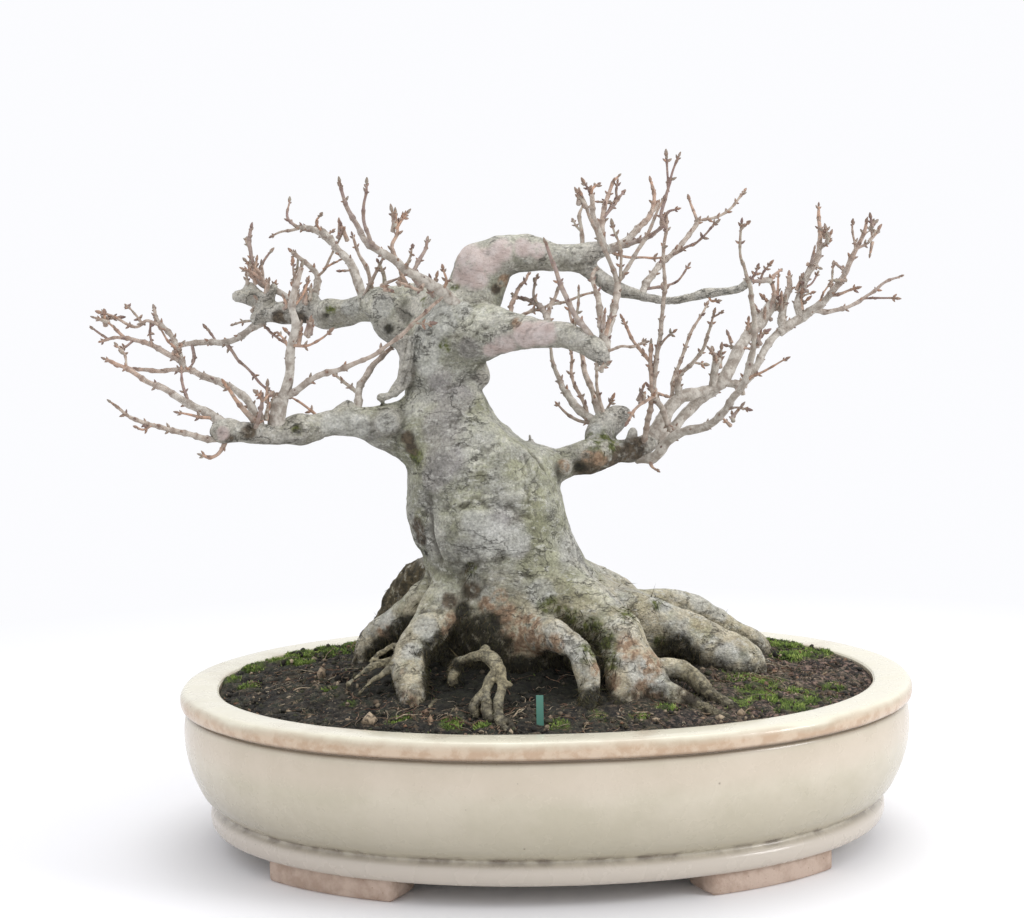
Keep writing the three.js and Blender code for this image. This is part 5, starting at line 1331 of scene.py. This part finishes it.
def thread(start, heading, length, radius):
    """The path of a rootlet that wanders over the soil, with a small random turn at each step."""
    steps = max(4, int(length / STEP))
    headings = heading + np.cumsum(draws.normal(0, 0.33, steps))
    xy = start + np.cumsum(np.column_stack([np.cos(headings), np.sin(headings)]) * STEP, axis=0)
    lift = 0.4 + 0.9 * draws.random() * np.sin(np.linspace(0, np.pi * draws.uniform(0.5, 2.2), steps)) ** 2
    z = ground_height(xy[:, 0], xy[:, 1]) + lift
    return np.column_stack([xy, z, np.full(steps, radius) * np.linspace(1, 0.5, steps)])


threads, thread_tag = [], []
starts = np.vstack([scatter(1900, lambda x, y: 0.6 - 0.4 * moss_amount(x, y)),
                    draws.normal([14, -68], [34, 5], (150, 2)), draws.normal([-84, -12], [12, 14], (90, 2)),
                    draws.normal([-40, -60], [12, 7], (60, 2)), draws.normal([86, -14], [16, 14], (150, 2))])
for start in starts[reach(starts, SOIL_INSET + 10) <= 1]:
    heading, length = draws.uniform(0, 2 * np.pi), draws.uniform(4, 15)
    path = thread(start, heading, length, draws.choice([0.1, 0.14, 0.2, 0.32]))
    path = path[reach(path[:, :2], SOIL_INSET + 3) < 1]
    if len(path) < 4:
        continue
    threads.append(tube(path, 3))
    thread_tag.append(np.full(len(threads[-1][0]), draws.random()))
thread_points, thread_quads, thread_ends = join(threads)
rootlets = add_piece("rootlets", thread_points, [thread_quads, thread_ends],
                     {"tag": np.concatenate(thread_tag)})

# %% [markdown]
# ## Materials
#
# A material here is a small graph of nodes. Patterns read Object coordinates, which are metres in the
# part's frame, so a pattern of a given size in millimetres has a scale of 1000 over that size. Colours
# are given by the 0 to 255 values that a picture editor shows. A value for a node may be a number, a
# colour or a socket.

# %% Node helpers
def colour(red, green, blue):
    """Linear colour of an sRGB one: each value over 255, then its curve undone."""
    srgb = np.array([red, green, blue]) / 255
    linear = np.where(srgb <= 0.04045, srgb / 12.92, ((srgb + 0.055) / 1.055) ** 2.4)
    return (*(float(v) for v in linear), 1.0)


def paint(value):
    """Three 0 to 255 values as a linear colour, and a socket as it is."""
    return colour(*value) if isinstance(value, tuple) else value


class Nodes:
    """The nodes of one graph, which may be a material's or a group's."""

    def __init__(self, tree):
        self.tree = tree

    def add(self, kind, inputs=None, **settings):
        """Adds a node, sets it, and gives each named or numbered input its value or its link."""
        made = self.tree.nodes.new("ShaderNode" + kind)
        for name, value in settings.items():
            setattr(made, name, value)
        for key, value in (inputs or {}).items():
            if isinstance(value, bpy.types.NodeSocket):
                self.tree.links.new(value, made.inputs[key])
            else:
                made.inputs[key].default_value = value
        return made

    def mix(self, factor, a, b, how="MIX"):
        """Colour a, turned towards b by the factor."""
        return self.add("Mix", {0: factor, 6: paint(a), 7: paint(b)}, data_type="RGBA",
                        blend_type=how).outputs[2]

    def maths(self, operation, a, b=0.0, clamp=False):
        """One step of arithmetic."""
        return self.add("Math", {0: a, 1: b}, operation=operation, use_clamp=clamp).outputs[0]

    def times(self, first, *others):
        """The product of all the values."""
        for other in others:
            first = self.maths("MULTIPLY", first, other)
        return first

    def spread(self, value, low, high, to_low=0.0, to_high=1.0):
        """The value's range from low to high, stretched to another range and held at its ends."""
        return self.add("MapRange", {0: value, 1: low, 2: high, 3: to_low, 4: to_high}).outputs[0]


print("white is", colour(255, 255, 255))

# %% [markdown]
# Two effects are used by several materials, so each is a node group. "Mottle" lets one colour run into
# another in soft clouds, as stains and glazes do. "Pinholes" gives small dark specks, such as iron spots
# in a glaze and the pores of bark.

# %% Shared effects
def start_group(name, inputs, outputs):
    """A node group with those sockets, each (name, kind, value)."""
    group = bpy.data.node_groups.new(name, "ShaderNodeTree")
    for direction, sockets in (("INPUT", inputs), ("OUTPUT", outputs)):
        for title, kind, value in sockets:
            socket = group.interface.new_socket(title, in_out=direction, socket_type="NodeSocket" + kind)
            if value is not None:
                socket.default_value = value
    return Nodes(group), group.nodes.new("NodeGroupInput").outputs, group.nodes.new("NodeGroupOutput").inputs


mottle, given, out = start_group(
    "Mottle",
    [("Vector", "Vector", None), ("Colour", "Color", None), ("Other colour", "Color", None),
     ("Scale", "Float", 60), ("Amount", "Float", 0.5), ("Contrast", "Float", 5)],
    [("Colour", "Color", None)])
cloud = mottle.add("TexNoise", {"Vector": given["Vector"], "Scale": given["Scale"], "Detail": 6,
                                "Roughness": 0.62}).outputs["Fac"]
lifted = mottle.times(mottle.maths("SUBTRACT", cloud, 0.5), given["Contrast"])
lifted = mottle.maths("ADD", lifted, given["Amount"], clamp=True)
mottle.tree.links.new(mottle.mix(lifted, given["Colour"], given["Other colour"]), out["Colour"])

pinholes, given, out = start_group(
    "Pinholes",
    [("Vector", "Vector", None), ("Scale", "Float", 300), ("Size", "Float", 0.12), ("Share", "Float", 0.3)],
    [("Speck", "Float", None)])
dots = pinholes.add("TexVoronoi", {"Vector": given["Vector"], "Scale": given["Scale"]})
inside_dot = pinholes.spread(dots.outputs["Distance"], given["Size"], 0)
chosen = pinholes.add("SeparateColor", {0: dots.outputs["Color"]}).outputs[0]
kept = pinholes.maths("LESS_THAN", chosen, given["Share"])
pinholes.tree.links.new(pinholes.times(inside_dot, kept), out["Speck"])
print("groups:", [group.name for group in bpy.data.node_groups])

# %% [markdown]
# A finish is laid on in layers, each with its strength and the places where it lies. So the class keeps
# the colour so far.

# %% Finishes
def plain_material(name, roughness, coat=0):
    """A material with its Principled BSDF."""
    material = bpy.data.materials.new(name)
    material.use_nodes = True
    shader = material.node_tree.nodes["Principled BSDF"]
    shader.inputs["Roughness"].default_value = roughness
    shader.inputs["Coat Weight"].default_value = coat
    return material, shader


class Finish(Nodes):
    """A material whose colour is laid on in layers. Sizes are in millimetres."""

    def __init__(self, name, roughness, coat=0):
        self.material, self.shader = plain_material(name, roughness, coat)
        super().__init__(self.material.node_tree)
        self.where = self.add("TexCoord").outputs["Object"]
        self.base = None

    def along(self, axis):
        """The place along one axis of the part's frame, in metres."""
        return self.add("SeparateXYZ", {0: self.where}).outputs[axis]

    def texture(self, size, detail=4, rough=0.55, stir=0, where=None):
        """Noise from about 0.3 to 0.7, with features of that size."""
        return self.add("TexNoise", {"Vector": self.where if where is None else where, "Scale": 1000 / size,
                                     "Detail": detail, "Roughness": rough, "Distortion": stir}).outputs["Fac"]

    def mask(self, name):
        """A mask of the mesh."""
        return self.add("Attribute", attribute_name=name).outputs["Fac"]

    def broken(self, name, size, low=0.4, high=0.58):
        """A mask that is broken up by a noise of that size."""
        return self.times(self.mask(name), self.spread(self.texture(size, 5), low, high))

    def lines(self, pattern, wide, narrow):
        """Thin lines where a noise passes through its mean."""
        away = self.maths("ABSOLUTE", self.maths("SUBTRACT", pattern, 0.5))
        return self.spread(away, wide, narrow)

    def mottled(self, a, b, size, amount=0.5, contrast=5):
        """Colour a clouded with colour b, by the shared group."""
        return self.add("Group", {
            "Vector": self.where, "Colour": paint(a), "Other colour": paint(b), "Scale": 1000 / size,
            "Amount": amount, "Contrast": contrast}, node_tree=mottle.tree).outputs["Colour"]

    def specks(self, size, dot=0.12, share=0.3):
        """1 in small dots, one in each cell of that size at most, by the shared group."""
        return self.add("Group", {"Vector": self.where, "Scale": 1000 / size, "Size": dot, "Share": share},
                        node_tree=pinholes.tree).outputs["Speck"]

    def ramp(self, name, *stops):
        """Colour by a mask, such as each grain's own random tag: stops are (share, colour)."""
        chooser = self.add("ValToRGB", {0: self.mask(name)})
        elements = chooser.color_ramp.elements
        elements[1].position, elements[1].color = stops[-1][0], paint(stops[-1][1])
        elements[0].position, elements[0].color = stops[0][0], paint(stops[0][1])
        for share, value in stops[1:-1]:
            elements.new(share).color = paint(value)
        return chooser.outputs[0]

    def lay(self, strength, places, *colours, size=None, **clouds):
        """A layer over the colour so far, of one colour, or of two clouded together with that size.
        Its places may be the name of a mask."""
        places = self.mask(places) if isinstance(places, str) else places
        over = colours[0] if size is None else self.mottled(*colours, size, **clouds)
        self.base = self.mix(self.times(places, strength), self.base, over)

    def shade(self, factor):
        """Makes the colour so far darker or lighter by a factor."""
        self.base = self.mix(1, self.base, factor, how="MULTIPLY")

    def bump(self, height, distance):
        """Height, in millimetres of distance, as a change of the shader's normal."""
        made = self.add("Bump", {"Distance": distance / 1000, "Height": height})
        self.tree.links.new(made.outputs[0], self.shader.inputs["Normal"])

    def dress(self, *pieces):
        """Gives the shader its colour and the pieces this material."""
        self.tree.links.new(self.base, self.shader.inputs["Base Color"])
        for piece in pieces:
            piece.data.materials.clear()
            piece.data.materials.append(self.material)
        print(self.material.name, "has", len(self.tree.nodes), "nodes")


# %% [markdown]
# ### Glaze
#
# The glaze is a pale greenish cream with a soft gloss. On the outer, lower half of the lip it ran thin
# and let the salmon clay through. Painted shadow darkens the crease below the lip, and painted shade the
# crease above the bead. Down the wall it turns from a little pink to a grey-green that painted shade
# darkens, most low down and on the left, and a painted highlight lightens the top of the lip. Height in
# the part's frame says where on the wall a point lies.

# %% The glaze
glaze = Finish("celadon_glaze", 0.28, coat=0.25)
height = glaze.times(glaze.along("Z"), 1000)
wave = glaze.times(glaze.maths("SUBTRACT", glaze.texture(30, 3), 0.5), 6)
ragged_height = glaze.maths("ADD", height, wave)
glaze.base = glaze.mottled((202, 193, 174), (190, 182, 161), 28)
# Painted shade: the low wall is darker, and darker still towards the left.
shade_to_left = glaze.spread(glaze.along("X"), 0.02, -0.12)
low_wall_shade = glaze.mix(shade_to_left, (170, 163, 143), (154, 147, 130))
glaze.lay(0.85, glaze.spread(ragged_height, 38, 19), low_wall_shade)
high_wall = glaze.times(glaze.spread(ragged_height, 38, 44), glaze.spread(height, 52, 49))
glaze.lay(0.5, high_wall, (206, 191, 174))
glaze.lay(0.7, glaze.spread(height, 17, 14), (198, 188, 178))
# Painted highlight: the top of the lip is lighter.
glaze.lay(0.9, glaze.spread(ragged_height, 57.4, 59.2), (227, 222, 202))
lip = glaze.times(glaze.spread(height, 52.4, 53.4), glaze.spread(ragged_height, 58.8, 55.8))
glaze.lay(0.8, lip, (206, 182, 156), (186, 154, 124), size=6, contrast=8)
# Painted shadow under the lip.
under_lip_shadow = glaze.times(glaze.spread(height, 50.6, 52.4), glaze.spread(height, 54.2, 53.2))
glaze.lay(0.75, under_lip_shadow, (116, 94, 76))
# Painted shade in the crease above the bead.
above_bead_shade = glaze.times(glaze.spread(height, 14.6, 16.2), glaze.spread(height, 18.8, 16.8))
glaze.lay(0.75, glaze.times(above_bead_shade, glaze.spread(glaze.texture(7), 0.4, 0.6)), (104, 92, 80))
iron_spots = glaze.maths("MAXIMUM", glaze.specks(9, 0.06, 0.35), glaze.specks(3.4, 0.09, 0.08))
glaze.lay(0.75, iron_spots, (88, 72, 58))
gloss = glaze.spread(glaze.texture(12), 0.35, 0.65, 0.2, 0.36)
glaze.tree.links.new(gloss, glaze.shader.inputs["Roughness"])
glaze.bump(glaze.texture(5, 3), 0.12)
glaze.dress(pot)

# %% [markdown]
# The feet were wiped clean before the firing, so their clay is bare: matt and pinkish, with specks of
# grit.

# %% The bare clay
clay = Finish("bare_clay", 0.8)
clay.base = clay.mottled((190, 170, 155), (168, 146, 130), 7)
clay.lay(1, clay.specks(1.6, 0.2, 0.3), (140, 112, 92))
clay.lay(1, clay.specks(3.2, 0.11, 0.2), (70, 56, 46))
clay.bump(clay.texture(0.9), 0.25)
clay.dress(feet)

# %% [markdown]
# ### Bark
#
# The bark's colour is built from the slow to the quick: grey and green clouds, a painted highlight on the
# ridges and painted light and shade by which way the skin faces, then the masks for moss, scars and soil
# stain, and last painted shade in the hollows, near the soil and in dark patches.

# %% Bark
BARK_PATCHES = [
    # mask, strength, size and range of the noise that breaks it up, two colours, size of their clouds
    ("stump", 1, 3, 0.3, 0.44, (106, 94, 68), (62, 56, 40), 3),
    ("brown", 0.95, 4, 0.32, 0.48, (100, 86, 68), (66, 56, 44), 3),
    ("rust", 0.95, 3, 0.37, 0.52, (194, 166, 138), (140, 114, 90), 3),
    ("moss", 1, 3, 0.4, 0.58, (116, 122, 66), (72, 78, 42), 2),
]
bark = Finish("maple_bark", 0.85)
flat = bark.add("VectorMath", {0: bark.where, 1: (1, 1, 1.9)}, operation="MULTIPLY").outputs[0]
bark.base = bark.mottled((174, 173, 165), (160, 160, 137), 24, contrast=6)
bark.lay(0.6, bark.spread(bark.along("Z"), 0.15, 0.2), (206, 202, 190), (180, 180, 160), size=9)
bark.lay(0.6, "olive", (150, 150, 116))
bark.lay(0.55, "lilac", (154, 148, 150))
# Painted highlight on the ridges.
bark.lay(0.5, "ridge", (204, 202, 190))
# Painted light and shade by which way the skin faces.
bark.shade(bark.spread(bark.mask("upper"), 0, 1, 0.7, 1.14))
bark.shade(bark.spread(bark.texture(13, 4, 0.6, 0.4, flat), 0.38, 0.62, 0.8, 1.2))
bark.lay(0.8, bark.broken("rooty", 9, 0.34, 0.54), (212, 200, 170), (160, 147, 118), size=5)
bark.lay(0.5, "thin", (198, 192, 186), (166, 158, 148), size=5)
bark.lay(0.6, bark.spread(bark.texture(3.5, 6, 0.72, 0, flat), 0.53, 0.64), (218, 217, 209))
bark.lay(0.55, bark.spread(bark.texture(3, 6, 0.75, 0.4), 0.44, 0.37), (84, 80, 69))
# Pale bark, partly painted highlight.
bark.lay(0.7, "pale_bark_and_highlight", (212, 212, 206), (180, 180, 172), size=4)
bark.lay(0.8, "slim_root", (166, 156, 124), (84, 78, 58), size=1.6)
for name, strength, break_size, low, high, light, dark, cloud_size in BARK_PATCHES:
    bark.lay(strength, bark.broken(name, break_size, low, high), light, dark, size=cloud_size)
bark.shade(bark.spread(bark.texture(0.9, 2), 0.34, 0.66, 0.76, 1.2))
bark.lay(0.85, bark.broken("scar", 6, 0.3, 0.45), (224, 210, 206), (204, 184, 178), size=5)

# %% Pores, cracks and painted shade
pores = bark.specks(1.7, 0.26, 0.3)
bark.lay(0.35, pores, (84, 80, 68))
crack = bark.times(bark.lines(bark.texture(15, 5, 0.6, 0.2, flat), 0.013, 0.003),
                   bark.spread(bark.texture(20, 3), 0.44, 0.56),
                   bark.spread(bark.mask("scar"), 0, 0.5, 1, 0.25))
bark.lay(0.5, crack, (70, 65, 54))
# Painted shade in the hollows.
bark.lay(0.6, "hollow_shade", (66, 60, 46))
# Painted shade on the wood just above the soil.
bark.lay(0.9, bark.broken("base_shade", 4, 0.35, 0.55), (48, 42, 32))
# Painted shade in the dark patches.
bark.lay(0.95, bark.broken("dark", 3, 0.25, 0.45), (30, 27, 22), (52, 50, 34), size=2)
scurf = bark.times(bark.texture(1.3, 5, 0.65), 0.5)
relief = bark.maths("ADD", scurf, bark.texture(4, 5, 0.65, 0, flat))
relief = bark.maths("SUBTRACT", relief, bark.times(pores, 0.2))
relief = bark.maths("SUBTRACT", relief, bark.times(crack, 0.5))
bark.bump(relief, 2)
bark.dress(wood)

# %% [markdown]
# Last year's twigs are orange to purple brown, and older ones turn grey. Each twig has its own hue, and
# the scars at its nodes are darker.

# %% Twig bark
rind = Finish("young_bark", 0.75)
old = rind.mottled((200, 194, 184), (158, 148, 137), 3, contrast=6)
hue = rind.ramp("hue", (0, (186, 154, 136)), (0.2, (196, 156, 130)), (0.4, (192, 176, 162)),
                     (0.65, (172, 166, 150)), (0.85, (148, 122, 118)), (1, (136, 116, 108)))
fresh = rind.mottled(hue, (162, 138, 122), 2, amount=0.3, contrast=8)
rind.base = rind.mix(rind.spread(rind.mask("young"), 0.1, 0.7), old, fresh)
rind.lay(0.5, "node", (100, 76, 64))
rind.lay(0.4, rind.specks(1.1, 0.3, 0.3), (96, 84, 72))
rind.bump(rind.texture(0.9, 4), 0.6)
rind.dress(twigs, buds)

# %% [markdown]
# ### Soil, moss and rootlets
#
# The soil is dark grains with painted shade in the gaps between them. It is redder at the right end, has
# painted shade round the tree's foot, and has light bits and the lines of fine roots. Grains, shoots and
# rootlets take their colours from their own random tags.

# %% Soil
earth = Finish("potting_soil", 0.95)
grain_colour = earth.ramp("tag", (0, (40, 40, 38)), (0.5, (74, 69, 60)), (0.8, (56, 56, 46)),
                          (1, (124, 106, 88)))
earth.base = earth.mottled(grain_colour, (44, 39, 33), 3, amount=0.35)
earth.lay(0.75, earth.spread(earth.along("X"), 0.03, 0.09), (162, 134, 120), (78, 62, 56), size=2,
          contrast=10)
earth.base = earth.mottled(earth.base, (26, 24, 21), 1.6, amount=0.5, contrast=10)
earth.lay(0.4, earth.spread(earth.texture(7), 0.48, 0.6), (58, 66, 46))
earth.lay(0.8, earth.specks(2, 0.26, 0.4), (172, 158, 134))
for size, width in ((6, 0.014), (4, 0.01)):
    fine_root = earth.lines(earth.texture(size, 1, 0.5, 1.5), width, width / 3)
    fine_root = earth.times(fine_root, earth.spread(earth.texture(7), 0.42, 0.6))
    earth.lay(0.7, fine_root, (168, 150, 124), (122, 92, 76), size=5)
# Painted shade in the gaps between grains.
earth.lay(0.6, "hollow_shade", (24, 21, 18))
# Painted shade round the tree's foot.
earth.lay(0.85, "base_shade", (18, 18, 16), (38, 40, 27), size=2)
earth.lay(1, "mossy", (98, 112, 52), (58, 66, 32), size=4)
earth.bump(earth.texture(1.6, 5, 0.7), 1.6)
earth.dress(soil)

# %% What lies on the soil
gravel = Finish("soil_grains", 0.95)
grain_colour = gravel.ramp("tag", (0, (30, 30, 30)), (0.5, (66, 62, 54)), (0.7, (70, 74, 50)),
                           (0.82, (104, 88, 72)), (0.92, (190, 172, 146)), (1, (132, 98, 76)))
gravel.base = gravel.mottled(grain_colour, (50, 44, 36), 1.5, amount=0.3)
# Painted shade round the tree's foot.
gravel.lay(0.8, "base_shade", (34, 32, 25))
gravel.dress(loose)

feeder = Finish("feeder_root", 0.8)
root_colour = feeder.ramp("tag", (0, (104, 76, 62)), (0.3, (136, 106, 86)), (0.6, (178, 156, 128)),
                               (0.75, (208, 194, 168)), (1, (74, 62, 52)))
feeder.base = feeder.mottled(root_colour, (92, 74, 60), 2, amount=0.35)
feeder.dress(rootlets)


def dress_shoots(piece, name, roughness, foot, *stops):
    """Spikes that are darker at the foot than at the tip."""
    finish = Finish(name, roughness)
    leaf = finish.ramp("tag", *stops)
    finish.base = finish.mix(finish.mask("tip"), finish.mix(0.5, leaf, foot), leaf)
    finish.dress(piece)


dress_shoots(moss, "moss_shoots", 0.8, (44, 50, 26), (0, (40, 48, 26)), (0.35, (84, 104, 42)),
             (0.65, (128, 156, 62)), (1, (192, 206, 116)))
dress_shoots(fuzz, "root_fuzz", 0.9, (30, 27, 20), (0, (44, 38, 28)), (0.4, (78, 70, 46)),
             (0.75, (98, 98, 58)), (1, (136, 118, 86)))

# %% [markdown]
# ### Small parts
#
# The label stake, the drainage screens and their staples keep the part's own solids and only get
# a material.

# %% Stake, screens and staples
for name, nodes, rgb, roughness, metallic in (
        ("teal_plastic", ["label_stake"], (82, 134, 120), 0.5, 0.0),
        ("black_plastic", ["drain_screen_left", "drain_screen_right"], (28, 28, 28), 0.6, 0.0),
        ("soft_wire", ["screen_staple_left", "screen_staple_right"], (180, 182, 184), 0.4, 1.0)):
    material, shader = plain_material(name, roughness)
    shader.inputs["Base Color"].default_value = colour(*rgb)
    shader.inputs["Metallic"].default_value = metallic
    for node in nodes:
        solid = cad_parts[node]
        solid.data.materials.clear()
        solid.data.materials.append(material)
print("materials:", len(bpy.data.materials))

# %% [markdown]
# ## Stage, light and camera
#
# The photo is high key: a white ground that runs into a white wall, light from all round, and a few soft
# boxes that show in the glaze. So the world is white, with three area lights. Near the pot the floor
# takes its shadow, and farther out it turns into the world's own white, so that no horizon shows.

# %% Floor and world
WHITE = (0.972, 0.975, 0.998, 1.0)
floor_mesh = bpy.data.meshes.new("floor")
floor_mesh.from_pydata([(-9, -3, 0), (9, -3, 0), (9, 15, 0), (-9, 15, 0)], [], [(0, 1, 2, 3)])
floor = add_object("floor", floor_mesh)
paper = Finish("seamless_paper", 0.95)
paper.shader.inputs["Base Color"].default_value = (0.88, 0.88, 0.9, 1.0)
away = paper.add("VectorMath", {0: paper.where}, operation="LENGTH").outputs["Value"]
blend = paper.add("MixShader", {0: paper.spread(away, 0.2, 0.55), 1: paper.shader.outputs[0],
                                2: paper.add("Emission", {0: WHITE}).outputs[0]})
paper.tree.links.new(blend.outputs[0], paper.tree.nodes["Material Output"].inputs["Surface"])
floor_mesh.materials.append(paper.material)
world = scene.world or bpy.data.worlds.new("studio")
scene.world = world
world.use_nodes = True
background = world.node_tree.nodes["Background"].inputs
background["Color"].default_value, background["Strength"].default_value = WHITE, 1.0
print("world", world.name)


# %% Lights
def soft_box(name, place, size, power):
    """A square area light at a place, facing the pot. Both are in metres in the part's frame."""
    lamp = bpy.data.lights.new(name, "AREA")
    lamp.shape, lamp.size, lamp.energy = "SQUARE", size, power
    light = add_object(name, lamp)
    light.location = place
    way = np.array(LIGHT_AIM) - np.array(place)
    light.rotation_euler = (float(np.arctan2(np.hypot(way[0], way[1]), -way[2])), 0.0,
                            float(np.arctan2(-way[0], way[1])))
    return light


LIGHT_AIM = (0, 0, 0.1)
lights = [
    soft_box("left_box", (-0.9, -0.9, 0.9), 0.3, 0.4),
    soft_box("right_box", (1.15, -0.5, 0.7), 0.4, 6.0),
    soft_box("top_box", (0.1, 0.2, 1.3), 0.8, 4.6),
]
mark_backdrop(floor, *lights)
print("lights:", [light.name for light in lights])

# %% [markdown]
# The camera stands where the photograph's did, 76 cm from the middle of the pot, and tips down by
# 6 degrees, with a slight roll.

# %% Camera
SEAT_X, SEAT_Y, SEAT_Z = -0.010645, -0.76, 0.2196
PITCH, ROLL = 0.1038, 0.0203
camera_data = bpy.data.cameras.new("camera")
camera_data.sensor_fit, camera_data.sensor_width = "HORIZONTAL", 36.0
camera_data.lens = 72.906
camera = add_object("camera", camera_data)
seat = Matrix.Translation((POT_MIDDLE[0] + SEAT_X, POT_MIDDLE[1] + SEAT_Y, SEAT_Z))
camera.matrix_world = seat @ Matrix.Rotation(np.pi / 2 - PITCH, 4, "X") @ Matrix.Rotation(-ROLL, 4, "Z")
scene.camera = camera
scene.view_settings.view_transform = "Standard"
print("camera at", seat.translation)

# %% Sizes and the end
low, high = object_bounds()
print("visual box in metres", low, high)
